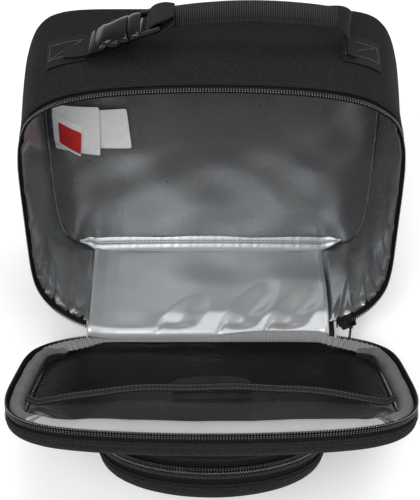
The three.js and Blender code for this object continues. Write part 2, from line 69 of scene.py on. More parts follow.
GROSGRAIN_THICK = 0.5
STRIP_THICK = 0.9
LABEL_THICK = 0.18
PATCH_THICK = 0.12
SEAM_PITCH = 2.9
PADDING_SKIN = 0.5

# ---- Frames ---------------------------------------------------------------------------

joints = {j["name"]: j for j in frame["joints"]}


def joint_pos(name):
    return Vector(joints[name]["pos_m"])


travel = joints["main_slider_travel"]["axis"]
outward = joints["pocket_slider_travel"]["axis"]
LEAN = math.atan2(travel[2], -travel[1])
LID_TILT = math.atan2(-outward[2], -outward[1])
HINGE = Matrix.Translation(joint_pos("lid_hinge"))
BAG = HINGE @ Matrix.Rotation(-LEAN, 4, "X")
LID = HINGE @ Matrix.Rotation(LID_TILT, 4, "X")


def in_bag(x, y, z):
    return BAG @ Vector((x * MM, y * MM, z * MM))


# ---- Materials ------------------------------------------------------------------------

UV = "flat"
WAVE_RADIANS = 20  # phase that a wave texture turns through in one unit


class Look:
    """A procedural material, built node by node."""

    def __init__(self, name, mapped=True):
        self.material = bpy.data.materials.new(name)
        self.material.use_nodes = True
        self.tree = self.material.node_tree
        self.shader = self.tree.nodes["Principled BSDF"]
        if mapped:
            self.where = self.node("ShaderNodeUVMap", uv_map=UV).outputs["UV"]
        else:
            self.where = self.node("ShaderNodeTexCoord").outputs["Object"]

    def node(self, kind, **settings):
        made = self.tree.nodes.new(kind)
        for key, value in settings.items():
            setattr(made, key, value)
        return made

    def link(self, a, b):
        self.tree.links.new(a, b)

    def put(self, target, value):
        if hasattr(value, "is_output"):
            self.link(value, target)
        else:
            target.default_value = value

    def scaled(self, sx, sy, sz):
        made = self.node("ShaderNodeMapping")
        made.inputs["Scale"].default_value = (sx, sy, sz)
        self.link(self.where, made.inputs["Vector"])
        return made.outputs["Vector"]

    def noise(self, sx, sy=None, sz=None, detail=3.0, rough=0.55):
        """Noise with features about 1/sx by 1/sy metres across."""
        made = self.node("ShaderNodeTexNoise")
        made.inputs["Scale"].default_value = 1.0
        made.inputs["Detail"].default_value = detail
        made.inputs["Roughness"].default_value = rough
        self.link(self.scaled(sx, sy or sx, sz or sx), made.inputs["Vector"])
        return made.outputs["Fac"]

    def bands(self, period, along_y=False, distort=0.0):
        """Sine bands with the period given in metres."""
        made = self.node("ShaderNodeTexWave", wave_type="BANDS")
        made.bands_direction = "Y" if along_y else "X"
        made.inputs["Scale"].default_value = 1.0
        made.inputs["Distortion"].default_value = distort
        scale = 2 * math.pi / (WAVE_RADIANS * period)
        self.link(self.scaled(scale, scale, scale), made.inputs["Vector"])
        return made.outputs["Fac"]

    def math(self, operation, a, b=0.5):
        made = self.node("ShaderNodeMath", operation=operation)
        self.put(made.inputs[0], a)
        self.put(made.inputs[1], b)
        return made.outputs[0]

    def ramp(self, value, stops):
        made = self.node("ShaderNodeValToRGB")
        ramp = made.color_ramp
        ramp.elements[0].position, ramp.elements[0].color = stops[0][0], (*stops[0][1], 1)
        ramp.elements[1].position, ramp.elements[1].color = stops[-1][0], (*stops[-1][1], 1)
        for place, colour in stops[1:-1]:
            ramp.elements.new(place).color = (*colour, 1)
        self.link(value, made.inputs["Fac"])
        return made.outputs["Color"]

    def level(self, value, low, high):
        made = self.node("ShaderNodeMapRange")
        made.inputs["To Min"].default_value = low
        made.inputs["To Max"].default_value = high
        self.link(value, made.inputs["Value"])
        return made.outputs["Result"]

    def bump(self, height, distance, strength=1.0):
        made = self.node("ShaderNodeBump")
        made.inputs["Distance"].default_value = distance
        made.inputs["Strength"].default_value = strength
        self.link(height, made.inputs["Height"])
        self.link(made.outputs["Normal"], self.shader.inputs["Normal"])

    def finish(self, colour=None, roughness=None, **constants):
        if colour is not None:
            self.put(self.shader.inputs["Base Color"], colour)
        if roughness is not None:
            self.put(self.shader.inputs["Roughness"], roughness)
        for key, value in constants.items():
            self.shader.inputs[key.replace("_", " ")].default_value = value
        return self.material


def grey(value, warm=0.0):
    return (value * (1 + warm), value, value * (1 - warm))


def woven_look(name, dark, light, period=0.0011, slub=0.0007):
    """Plain weave with heathered yarns in both directions."""
    look = Look(name)
    warp = look.noise(1 / slub, 1 / (4 * slub), detail=2)
    weft = look.noise(1 / (4 * slub), 1 / slub, detail=2)
    heather = look.math("MULTIPLY", look.math("ADD", warp, weft), 0.5)
    over = look.bands(period)
    under = look.bands(period, along_y=True)
    weave = look.math("MAXIMUM", over, under)
    yarns = look.math("ADD", heather, look.math("MULTIPLY", weave, 0.14))
    mixed = look.math("MULTIPLY", yarns, 0.92)
    broad = look.noise(28, detail=1)
    mixed = look.math("ADD", mixed, look.math("MULTIPLY", broad, 0.06))
    stops = [(0.40, grey(dark, 0.01)), (0.53, grey((dark + light) * 0.45, 0.01)),
             (0.70, grey(light, 0.01))]
    colour = look.ramp(mixed, stops)
    look.bump(look.math("ADD", weave, heather), 0.00022)
    rough = look.level(heather, 0.78, 0.95)
    return look.finish(colour, rough, Specular_IOR_Level=0.12)


def ribbed_look(name, dark, light, period, along_y=False, bump=0.0004, cross=0.0006):
    """Webbing or grosgrain: ribs one way and fine yarns the other."""
    look = Look(name)
    ribs = look.bands(period, along_y, distort=0.15)
    yarn = look.bands(cross, not along_y, distort=0.3)
    fuzz = look.noise(900, detail=2)
    height = look.math("ADD", ribs, look.math("MULTIPLY", yarn, 0.3))
    tone = look.math("ADD", look.math("MULTIPLY", height, 0.5), look.math("MULTIPLY", fuzz, 0.35))
    colour = look.ramp(tone, [(0.2, grey(dark)), (0.9, grey(light))])
    look.bump(height, bump)
    return look.finish(colour, look.level(fuzz, 0.6, 0.85), Specular_IOR_Level=0.2)


def film_look(name, dark, light, metallic, rough, bump=0.0006):
    """Aluminised film on foam: soft gloss with fine and broad creases."""
    look = Look(name, mapped=False)
    broad = look.noise(16, detail=2)
    creases = look.noise(34, 60, 34, detail=3, rough=0.5)
    fine = look.noise(1400, detail=1)
    colour = look.ramp(broad, [(0.3, grey(dark, -0.03)), (0.7, grey(light, -0.025))])
    height = look.math("ADD", creases, look.math("MULTIPLY", fine, 0.03))
    look.bump(height, bump, 0.8)
    roughness = look.level(creases, rough - 0.06, rough + 0.08)
    return look.finish(colour, roughness, Metallic=metallic)


def plastic_look(name, dark, light, rough, coat=0.0, gloss=0.5):
    """Moulded plastic with a fine grain and faint handling marks."""
    look = Look(name, mapped=False)
    grain = look.noise(1800, detail=2)
    wear = look.noise(120, detail=5, rough=0.65)
    colour = look.ramp(wear, [(0.3, grey(dark)), (0.75, grey(light))])
    look.bump(grain, 0.00004)
    return look.finish(colour, look.level(wear, rough * 0.8, rough * 1.3), Coat_Weight=coat,
                       Specular_IOR_Level=gloss)


def soft_look(name, dark, light, warm, scale=1500, bump=0.0002):
    """Brushed lining fabric."""
    look = Look(name, mapped=False)
    fuzz = look.noise(scale, detail=4, rough=0.7)
    cloud = look.noise(60, detail=2)
    tone = look.math("ADD", look.math("MULTIPLY", fuzz, 0.6), look.math("MULTIPLY", cloud, 0.4))
    colour = look.ramp(tone, [(0.3, grey(dark, warm)), (0.7, grey(light, warm))])
    look.bump(fuzz, bump)
    return look.finish(colour, look.level(fuzz, 0.8, 0.97), Specular_IOR_Level=0.15)


def label_look(name, colour_low, colour_high):
    """Satin ribbon."""
    look = Look(name)
    warp = look.bands(0.0004)
    weft = look.bands(0.0004, along_y=True)
    cloud = look.noise(150, detail=2)
    colour = look.ramp(cloud, [(0.3, colour_low), (0.7, colour_high)])
    look.bump(look.math("MULTIPLY", warp, weft), 0.00005)
    return look.finish(colour, look.level(cloud, 0.45, 0.6))


def metal_look(name):
    """Black lacquer worn to bare metal in fine scuffs."""
    look = Look(name, mapped=False)
    wear = look.noise(420, detail=6, rough=0.75)
    grain = look.noise(2600, detail=1)
    colour = look.ramp(wear, [(0.52, grey(0.022)), (0.66, grey(0.05)), (0.76, grey(0.22))])
    look.bump(grain, 0.00003)
    return look.finish(colour, look.level(wear, 0.3, 0.5), Metallic=0.75)


def foam_look(name):
    """Pale foam with small open cells."""
    look = Look(name, mapped=False)
    cells = look.node("ShaderNodeTexVoronoi")
    cells.inputs["Scale"].default_value = 900
    look.link(look.where, cells.inputs["Vector"])
    stops = [(0.1, grey(0.82, 0.01)), (0.7, grey(0.62, 0.02))]
    colour = look.ramp(cells.outputs["Distance"], stops)
    look.bump(cells.outputs["Distance"], 0.0003)
    return look.finish(colour, 0.9)


FABRIC = woven_look("outer_weave", 0.0015, 0.024, slub=0.0006)
TAPE = woven_look("tape_weave", 0.003, 0.016, period=0.0008, slub=0.0005)
COIL = plastic_look("coil_nylon", 0.003, 0.008, 0.5, gloss=0.14)
# Pale, glossy beads on the dark coil: painted highlights standing in for the glints on its teeth.
COIL_PAINTED_HIGHLIGHT = plastic_look("coil_painted_highlights", 0.13, 0.24, 0.2, gloss=0.8)
COIL_THREAD = plastic_look("coil_thread", 0.06, 0.11, 0.4, gloss=0.4)
THREAD = plastic_look("thread", 0.012, 0.03, 0.6, gloss=0.2)
PALE_THREAD = soft_look("pale_thread", 0.40, 0.55, 0.01)
WEBBING = ribbed_look("webbing_ribs", 0.004, 0.036, 0.0014, along_y=True, bump=0.0005)
GRIP = ribbed_look("grip_ribs", 0.005, 0.07, 0.0014, bump=0.0006)
SILVER = film_look("silver_film", 0.24, 0.32, 0.7, 0.27, 0.00004)
# A lighter copy of silver_film, the same film: painted light where light falls on the floor and
# the ridge. The walls keep the darker copy.
SILVER_PAINTED_LIT = film_look("silver_film_painted_lit", 0.48, 0.58, 0.5, 0.37, 0.00005)
# The lid's liner is a dark film. It is darkened further with painted shade for the part that lies
# under the mesh pocket.
DARK_FILM_AND_PAINTED_SHADE = film_look("dark_film_and_painted_shade", 0.032, 0.062, 0.35, 0.28, 0.0002)
LINING = soft_look("grey_lining", 0.12, 0.20, 0.035)
# A lighter copy of grey_lining, the same fabric: painted light on the front band, where the light
# falls. The sides keep the darker copy.
LINING_PAINTED_LIT = soft_look("grey_lining_front_painted_lit", 0.40, 0.50, 0.012)
GROSGRAIN = ribbed_look("grosgrain", 0.26, 0.50, 0.0011, bump=0.0004, cross=0.0005)
MESH_BLACK = plastic_look("mesh_yarn", 0.001, 0.003, 0.7, gloss=0.04)
EDGE_BLACK = ribbed_look("mesh_edge_tape", 0.008, 0.035, 0.0009, bump=0.0002)
HOOKS = soft_look("hook_and_loop", 0.004, 0.04, 0.0, scale=2600, bump=0.0008)
LABEL = label_look("label_satin", grey(0.86), grey(0.93))
PATCH_RED = label_look("label_patch", (0.50, 0.012, 0.012), (0.62, 0.02, 0.02))
BUCKLE = plastic_look("buckle_acetal", 0.002, 0.005, 0.17, coat=0.1, gloss=0.3)
METAL = metal_look("lacquered_metal")
FOAM = foam_look("foam_cells")

# ---- Mesh helpers ----------------------------------------------------------------------


def finish_mesh(name, vertices, faces, uvs, material, place, body, slot, replaces=()):
    """vertices in mm in the frame that place gives; uvs hold one pair for each face corner."""
    mesh = bpy.data.meshes.new(name)
    mesh.from_pydata([tuple(c * MM for c in v) for v in vertices], [], faces)
    layer = mesh.uv_layers.new(name=UV)
    if uvs is not None:
        layer.data.foreach_set("uv", np.asarray(uvs, np.float32).ravel())
    mesh.polygons.foreach_set("use_smooth", [True] * len(mesh.polygons))
    mesh.materials.append(material)
    mesh.update()
    piece = bpy.data.objects.new(name, mesh)
    bpy.context.collection.objects.link(piece)
    piece.matrix_world = place
    if replaces:
        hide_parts(*replaces)
    if body:
        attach(piece, body)
    return piece


def lengths(points, axis):
    """How far each row or column lies along the sheet, averaged over the other axis."""
    step = np.linalg.norm(np.diff(points, axis=axis), axis=2).mean(axis=1 - axis)
    return np.concatenate([[0.0], np.cumsum(step)])


def grid_piece(name, points, material, place, body, slot, closed=False, cap=False, **more):
    """A sheet through rows x columns of points. closed joins the last column to the first,
    and cap fills the last row."""
    points = np.asarray(points, float)
    rows, cols = points.shape[:2]
    looped = np.concatenate([points, points[:, :1]], axis=1) if closed else points
    u = lengths(looped, 1) * MM
    v = lengths(points, 0) * MM
    faces, uvs = [], []
    for r in range(rows - 1):
        for c in range(cols if closed else cols - 1):
            d = (c + 1) % cols
            faces.append((r * cols + c, r * cols + d, (r + 1) * cols + d, (r + 1) * cols + c))
            uvs += [(u[c], v[r]), (u[c + 1], v[r]), (u[c + 1], v[r + 1]), (u[c], v[r + 1])]
    vertices = points.reshape(-1, 3).tolist()
    if cap:
        centre = points[-1].mean(axis=0)
        vertices.append(centre.tolist())
        last = (rows - 1) * cols
        for c in range(cols):
            d = (c + 1) % cols
            faces.append((last + c, last + d, len(vertices) - 1))
            uvs += [(u[c], v[-1]), (u[c + 1], v[-1]), (u[c], v[-1] + 0.001)]
    return finish_mesh(name, vertices, faces, uvs, material, place, body, slot, **more)


def soften(piece, levels=1, render_levels=None):
    """Rounds a piece by subdivision."""
    smooth = piece.modifiers.new("smooth", "SUBSURF")
    smooth.levels = levels
    smooth.render_levels = render_levels or levels


def thicken(piece, thickness, offset=-1.0, smooth=1):
    """Gives a sheet its thickness: below it, or on both sides where offset is 0."""
    shell = piece.modifiers.new("thickness", "SOLIDIFY")
    shell.thickness = thickness * MM
    shell.offset = offset
    if smooth:
        soften(piece, smooth)


def spline(points, per=8, closed=False):
    """Points along a Catmull-Rom curve."""
    points = np.asarray(points, float)
    count = len(points)
    made = []
    for i in range(count if closed else count - 1):
        if closed:
            a, b, c, d = (points[(i + k) % count] for k in (-1, 0, 1, 2))
        else:
            a, b, c, d = (points[min(max(i + k, 0), count - 1)] for k in (-1, 0, 1, 2))
        for t in np.arange(per) / per:
            made.append(0.5 * (2 * b + (c - a) * t + (2 * a - 5 * b + 4 * c - d) * t * t
                               + (3 * b - a - 3 * c + d) * t ** 3))
    if not closed:
        made.append(points[-1])
    return np.array(made)


def outline_run(line):
    """Length along a line up to each of its points."""
    step = np.linalg.norm(np.diff(line, axis=0), axis=1)
    return np.concatenate([[0], np.cumsum(step)])


def resample(path, step):
    """Points about a fixed step apart along a path."""
    path = np.asarray(path, float)
    run = outline_run(path)
    count = max(2, int(round(run[-1] / step)))
    at = np.linspace(0, run[-1], count + 1)
    return np.stack([np.interp(at, run, path[:, k]) for k in range(path.shape[1])], axis=1)


def smooth_step(value, low, high):
    """0 below low, 1 above high and an S curve between them."""
    t = np.clip((value - low) / (high - low), 0, 1)
    return t * t * (3 - 2 * t)


def tangents_of(path):
    tangent = np.gradient(path, axis=0)
    return tangent / np.linalg.norm(tangent, axis=1)[:, None]


def tube(name, path, radius, material, place, body, slot, sides=10, squeeze=1.0, up=(0, 0, 1)):
    """A closed tube along a path; squeeze scales its size along up."""
    tangent = tangents_of(path)
    up = np.broadcast_to(np.asarray(up, float), path.shape)
    side = np.cross(tangent, up)
    side /= np.linalg.norm(side, axis=1)[:, None]
    top = np.cross(side, tangent)
    ring = []
    for k in range(sides):
        a = 2 * math.pi * k / sides
        ring.append(path + radius * (math.cos(a) * side + squeeze * math.sin(a) * top))
    points = np.stack(ring, axis=1)
    points = np.concatenate([points[:1] * 0 + path[0], points, points[:1] * 0 + path[-1]])
    weld(grid_piece(name, points, material, place, body, slot, closed=True))


def weld(piece, distance=1e-6):
    """Joins points that meet and turns all faces outwards."""
    bm = bmesh.new()
    bm.from_mesh(piece.data)
    bmesh.ops.remove_doubles(bm, verts=bm.verts, dist=distance)
    bmesh.ops.dissolve_degenerate(bm, dist=distance / 2, edges=bm.edges)
    bmesh.ops.recalc_face_normals(bm, faces=bm.faces)
    bm.to_mesh(piece.data)
    bm.free()
    return piece


def rows_of_bars(name, centres, along, across, normal, rings, material, place, body, slot,
                 sides=6, **more):
    """Many small rounded bars in one mesh. rings lists (position along across, half width
    along the path, half height along the normal)."""
    vertices, faces = [], []
    for centre, a, b, n in zip(centres, along, across, normal):
        base = len(vertices)
        for reach, half, high in rings:
            for k in range(sides):
                t = 2 * math.pi * k / sides
                vertices.append(centre + b * reach + a * (half * math.cos(t))
                                + n * (high * math.sin(t)))
        for r in range(len(rings) - 1):
            for k in range(sides):
                m = (k + 1) % sides
                faces.append((base + r * sides + k, base + r * sides + m,
                              base + (r + 1) * sides + m, base + (r + 1) * sides + k))
        faces.append(tuple(base + k for k in reversed(range(sides))))
        faces.append(tuple(base + (len(rings) - 1) * sides + k for k in range(sides)))
    return finish_mesh(name, vertices, faces, None, material, place, body, slot, **more)


def stitches(name, path, normals, material, place, body, slot, pitch=3.0, length=2.1,
             radius=0.26, lift=0.1):
    """A row of short stitches lying along a path."""
    both = resample(np.concatenate([path, normals], axis=1), pitch)
    centres, normal = both[:, :3], both[:, 3:]
    normal = normal / np.linalg.norm(normal, axis=1)[:, None]
    tangent = tangents_of(centres)
    across = np.cross(tangent, normal)
    half = length / 2
    rings = [(-half, radius * 0.5, radius * 0.5), (-half * 0.7, radius, radius),
             (half * 0.7, radius, radius), (half, radius * 0.5, radius * 0.5)]
    return rows_of_bars(name, centres + normal * lift, across, tangent, normal, rings,
                        material, place, body, slot, sides=5)


# ---- Outlines --------------------------------------------------------------------------

CORNER_STEPS = 4

# The right half of each outline, from the middle of the bottom to the middle of the top.
RIM_HALF = [(0, 0), (30, 0), (60, 0), (80, 1.5), (95, 7.2), (108, 17.2), (117, 28.8),
            (123.3, 43.5), (125.7, 62), (126, 85), (126, 110), (126, 135), (125.4, 155),
            (123, 172), (117.5, 187), (108, 196), (94, 203.2), (69, 208.8), (35, 211.8),
            (0, 212.5)]
REAR_HALF = [(0, 0.6), (30, 0.6), (60, 0.6), (86, 1.2), (103, 5), (115.5, 14.5), (123, 30),
             (127.2, 48), (128.6, 70), (129.3, 90), (129.6, 112), (129.6, 138), (129, 160),
             (127.2, 177.5), (123.6, 192.5), (117.6, 205), (107, 213.6), (87, 217.6),
             (42, 218.2), (0, 218.0)]
LINER_REAR_HALF = [(0, 8.2), (30, 8.2), (60, 8.2), (84, 8.4), (98, 9), (107, 11.5),
                   (113, 20), (116.8, 33), (118.8, 55), (119.3, 80), (119.3, 105),
                   (119, 130), (118, 152), (116, 170), (112, 184), (105, 194), (94, 200),
                   (69, 204), (35, 205.5), (0, 206)]
LID_HALF = [(0, 0), (30, 0), (60, 0), (80, 1.5), (95, 7.2), (108, 17.2), (117.3, 28.8),
            (123.8, 43.5), (126.6, 62), (127.2, 85), (127.2, 108), (127, 130), (125.6, 150),
            (122, 168), (115.3, 182.5), (105, 193.5), (90, 201.8), (66, 208), (33, 212.2),
            (0, 213.6)]


def whole(half):
    """The closed outline of a half one, smoothed."""
    left = [(-x, z) for x, z in reversed(half[1:-1])]
    return spline(half + left, CORNER_STEPS, closed=True)


def inset_outline(points, distance):
    """An outline moved inwards."""
    return points - outward_of(points) * np.asarray(distance).reshape(-1, 1)


def outward_of(points):
    """The outward direction at each point of a closed outline."""
    tangent = np.roll(points, -1, axis=0) - np.roll(points, 1, axis=0)
    tangent /= np.linalg.norm(tangent, axis=1)[:, None]
    return np.stack([tangent[:, 1], -tangent[:, 0]], axis=1)


RIM = whole(RIM_HALF)
REAR = whole(REAR_HALF)
LINER_REAR = whole(LINER_REAR_HALF)
LID_RIM = whole(LID_HALF)
OUTLINE_COUNT = len(RIM)
DEPTH = 96.0
REAR_ROUND = 9.0


def row_at(points, depth):
    """An x-z outline as a row of 3-D points at one depth."""
    depths = np.broadcast_to(np.asarray(depth, float), (len(points),))
    return np.stack([points[:, 0], depths, points[:, 1]], axis=1)


def body_outline(y):
    """The body is a little larger at the back than at its rim."""
    share = smooth_step(np.float64(y), -10, 100)
    return RIM * (1 - share) + REAR * share


def soft_waves(points, size, seed):
    """Slow, repeatable undulation from a few sines."""
    source = random.Random(seed)
    total = np.zeros(points.shape[:-1])
    for _ in range(6):
        k = np.array([source.uniform(-1, 1) for _ in range(3)])
        k *= 2 * math.pi / source.uniform(38, 90) / np.linalg.norm(k)
        total += np.sin(points @ k + source.uniform(0, 6.28))
    return total * size / 3


# ---- Bag body --------------------------------------------------------------------------


def build_outer_body():
    rows = []
    for y, inset in [(8.4, 1.7), (8.0, 1.0), (8.2, 0.3), (9.2, -0.1), (12, 0), (18, 0), (26, 0),
                     (36, 0), (47, 0), (58, 0), (69, 0), (78, 0), (81.6, 0), (83, 0.9),
                     (84.4, 0.1)]:
        rows.append(row_at(inset_outline(body_outline(y), inset), y))
    for degrees in (20, 38, 55, 72, 90):
        angle = math.radians(degrees)
        inset = REAR_ROUND * (1 - math.cos(angle))
        y = DEPTH - REAR_ROUND + REAR_ROUND * math.sin(angle)
        rows.append(row_at(inset_outline(body_outline(y), inset), y))
    centre = np.array([0, 107.0])
    last = inset_outline(body_outline(DEPTH), REAR_ROUND)
    for scale in (0.93, 0.82, 0.68, 0.52, 0.36, 0.2, 0.08):
        rows.append(row_at(centre + (last - centre) * scale, DEPTH + 1.2 * (1 - scale)))
    points = np.array(rows)
    normal = outward_of(RIM)
    wave = soft_waves(points, 0.7, 3)
    fade = smooth_step(points[..., 1], 12, 40) * (1 - smooth_step(points[..., 1], 84, 95))
    under = smooth_step(points[..., 2], 1, 14)
    points[..., 0] += wave * fade * normal[None, :, 0]
    points[..., 2] += wave * fade * under * normal[None, :, 1]
    shell = grid_piece("body_fabric", points, FABRIC, BAG, "bag_body", "black_fabric",
                       closed=True, cap=True, replaces=("outer_gusset", "back_panel"))
    weld(shell)
    thicken(shell, FABRIC_THICK)
    around = slice(20, OUTLINE_COUNT - 20)
    for index, y in enumerate((10.6, 13.4)):
        line = body_outline(y)
        normals = row_at(outward_of(line), 0)
        stitches(f"rim_stitches_{index + 1}", row_at(line, y)[around], normals[around],
                 THREAD, BAG, "bag_body", "black_fabric", pitch=SEAM_PITCH)
    rows = [row_at(inset_outline(body_outline(y), inset), y)
            for y, inset in ((9.5, 1.6), (30, 1.6), (55, 1.6), (80, 1.6))]
    padding = grid_piece("gusset_padding", rows, FOAM, BAG, "bag_body", "foam", closed=True,
                         replaces=("gusset_foam",))
    thicken(padding, PADDING_SKIN, 0, 0)


def first_to_last(keep):
    return slice(int(np.argmax(keep)), len(keep) - int(np.argmax(keep[::-1])))


def zip_part(line):
    """The part of an outline that has a zip: all but the bottom between the ends."""
    return first_to_last(~((np.abs(line[:, 0]) < 91.5) & (line[:, 1] < 30)))


TOOTH = 1.73
TAPE_INSET = 1.5
COIL_INSET = 0.5
# Reach from the zip's plane, half width along the chain, half height.
TOOTH_RINGS = [(0.2, 0.3, 0.4), (0.4, 0.5, 0.8), (1.0, 0.52, 0.9), (1.6, 0.42, 0.72),
               (3.3, 0.42, 0.66), (4.0, 0.48, 0.62), (4.4, 0.25, 0.3)]
HEAD_RINGS = [(0.3, 0.2, 0.2), (0.5, 0.4, 0.44), (0.9, 0.42, 0.48), (1.1, 0.2, 0.2)]


def coil(name, line, normal, depth_sign, place, body, replaces, depth=0.0, phase=0.0):
    """Teeth along an x-z line, reaching back (depth_sign 1) or forward of depth."""
    both = resample(np.concatenate([row_at(line, depth), row_at(normal, 0)], axis=1), TOOTH)
    if phase:
        both = both[:-1] * (1 - phase) + both[1:] * phase
    centres, normals = both[:, :3], both[:, 3:]
    tangent = tangents_of(centres)
    across = np.tile([0.0, float(depth_sign), 0.0], (len(centres), 1))
    rows_of_bars(name, centres, tangent, across, normals, TOOTH_RINGS, COIL, place,
                 body, "zip_coil", replaces=replaces)
    # Pale beads on each tooth: painted highlights on the dark coil.
    rows_of_bars(f"{name}_painted_highlights", centres + normals * 0.55, tangent, across, normals, HEAD_RINGS,
                 COIL_PAINTED_HIGHLIGHT, place, body, "zip_coil")
    fine = resample(np.concatenate([row_at(line, depth), row_at(normal, 0)], axis=1), 2.6)
    for index, reach in enumerate((2.3, 3.3)):
        path = fine[:, :3] + fine[:, 3:] * 0.55
        path[:, 1] += depth_sign * reach
        stitches(f"{name}_thread_{index + 1}", path, fine[:, 3:], COIL_THREAD, place, body,
                 "zip_coil", pitch=TOOTH, length=1.0, radius=0.3, lift=0.05)


def tape(name, line, part, y0, y1, place, body, node):
    """Flat tape just inside part of an outline, from depth y0 to y1."""
    rows = [row_at(inset_outline(line, TAPE_INSET)[part], y) for y in np.linspace(y0, y1, 5)]
    piece = grid_piece(name, rows, TAPE, place, body, "zip_tape", replaces=(node,))
    thicken(piece, TAPE_THICK, 0, 1)


def build_main_zip():
    part = zip_part(RIM)
    tape("body_tape", RIM, part, 0.7, 16, BAG, "bag_body", "body_zip_tape")
    coil("body_coil", inset_outline(RIM, COIL_INSET)[part], outward_of(RIM)[part], 1, BAG,
         "bag_body", ("body_zip_coil",))
    lid_part = zip_part(LID_RIM)
    tape("lid_tape", LID_RIM, lid_part, -9.5, -0.7, LID, "lid", "lid_zip_tape")
    coil("lid_coil", inset_outline(LID_RIM, COIL_INSET)[lid_part], outward_of(LID_RIM)[lid_part],
         -1, LID, "lid", ("lid_zip_coil",))


# ---- Silver liner ------------------------------------------------------------------------

LINER_FRONT = 4.6
LINER_BACK = 88.0
LINER_COLUMNS = 420


def liner_outline(y):
    share = smooth_step(np.float64(y), -6, 96)
    return inset_outline(RIM, 2.6) * (1 - share) + LINER_REAR * share


def pucker_field(seed, positions, sizes):
    """Sharp gathers at the rim: each is a pinch that dies out with depth."""
    source = random.Random(seed)
    items = []
    for at, size in zip(positions, sizes):
        items.append((at, size, source.uniform(4.0, 6.5), source.uniform(10, 18),
                      source.uniform(-0.35, 0.35)))
    return items


def pucker_height(run, y, items):
    total = np.zeros(np.broadcast(run, y).shape)
    for at, size, width, reach, skew in items:
        depth = y - LINER_FRONT
        across = np.abs(run - at - skew * depth) / (width * (0.4 + 0.6 * np.exp(-depth / reach)))
        total += size * np.clip(1 - across, 0, 1) ** 1.2 * np.exp(-(depth / reach) ** 1.3)
    return total


FLOOR_LEFT = -90.0
FLOOR_RIGHT = 85.0


def build_liner_sides():
    """Sides and top, one strip from the right floor seam round to the left one."""
    ys = np.concatenate([np.linspace(LINER_FRONT, 40, 26), np.linspace(43, LINER_BACK, 16)])
    rows = []
    for y in ys:
        line = liner_outline(y)
        closed = np.concatenate([line, line[:1]])
        run = outline_run(closed)
        start = np.interp(FLOOR_RIGHT, line[:20, 0], run[:20])
        end = np.interp(FLOOR_LEFT, line[-20:, 0], run[-21:-1])
        at = np.linspace(start, end, LINER_COLUMNS)
        rows.append(np.stack([np.interp(at, run, closed[:, 0]), np.full(LINER_COLUMNS, y),
                              np.interp(at, run, closed[:, 1])], axis=1))
    points = np.array(rows)
    tangent = np.gradient(points, axis=1)
    tangent /= np.linalg.norm(tangent, axis=2)[..., None]
    inward = np.stack([-tangent[..., 2], np.zeros(tangent.shape[:2]), tangent[..., 0]], axis=2)
    span = outline_run(points[0])[None, :]
    total = span[0, -1]
    near = [7, 19, 33, 46, 62, 82, 108, 139, 172]
    sizes = [6.0, 4.6, 6.2, 5.0, 5.6, 4.0, 2.4, 1.8, 1.4]
    right = pucker_field(11, near, sizes)
    left = pucker_field(23, [total - v + 3 for v in near], [1.15 * v for v in sizes])
    top = pucker_field(5, [total * f for f in (0.3, 0.36, 0.44, 0.52, 0.61, 0.68, 0.72)],
                       [0.9, 0.7, 0.5, 0.5, 0.6, 0.8, 0.9])
    y = points[..., 1].copy()
    away = (LINER_BACK - y) / (LINER_BACK - LINER_FRONT)
    points[..., 1] += 1.2 * away * smooth_step(-points[..., 2], -62, -16)
    low = 1 - smooth_step(np.minimum(span, total - span), 40, 190)
    puff = (0.7 + 3.9 * low) * (1 - np.exp(-(y - LINER_FRONT) / 3.4))
    puff = puff * np.exp(-(y - LINER_FRONT) / 60)
    pinch = pucker_height(span, y, right) + pucker_height(span, y, left)
    pinch = np.minimum(pinch * (1 - np.exp(-(y - LINER_FRONT + 0.8) / 2.5)), puff + 1.0)
    lift = puff - 0.5 - pinch + pucker_height(span, y, top)
    lift = lift + soft_waves(points, 1.1, 8) * smooth_step(y, 6, 25) * (1 - smooth_step(y, 72, 86))
    lift = lift * smooth_step(np.minimum(span, total - span), 0, 5)
    lift -= 1.3 * np.exp(-((y - 86.4) / 1.3) ** 2)
    points = points + inward * lift[..., None]
    sides = grid_piece("liner_sides", points, SILVER, BAG, "bag_body", "silver_liner",
                       replaces=("liner_wrap",))
    thicken(sides, FILM_THICK, 0, 0)


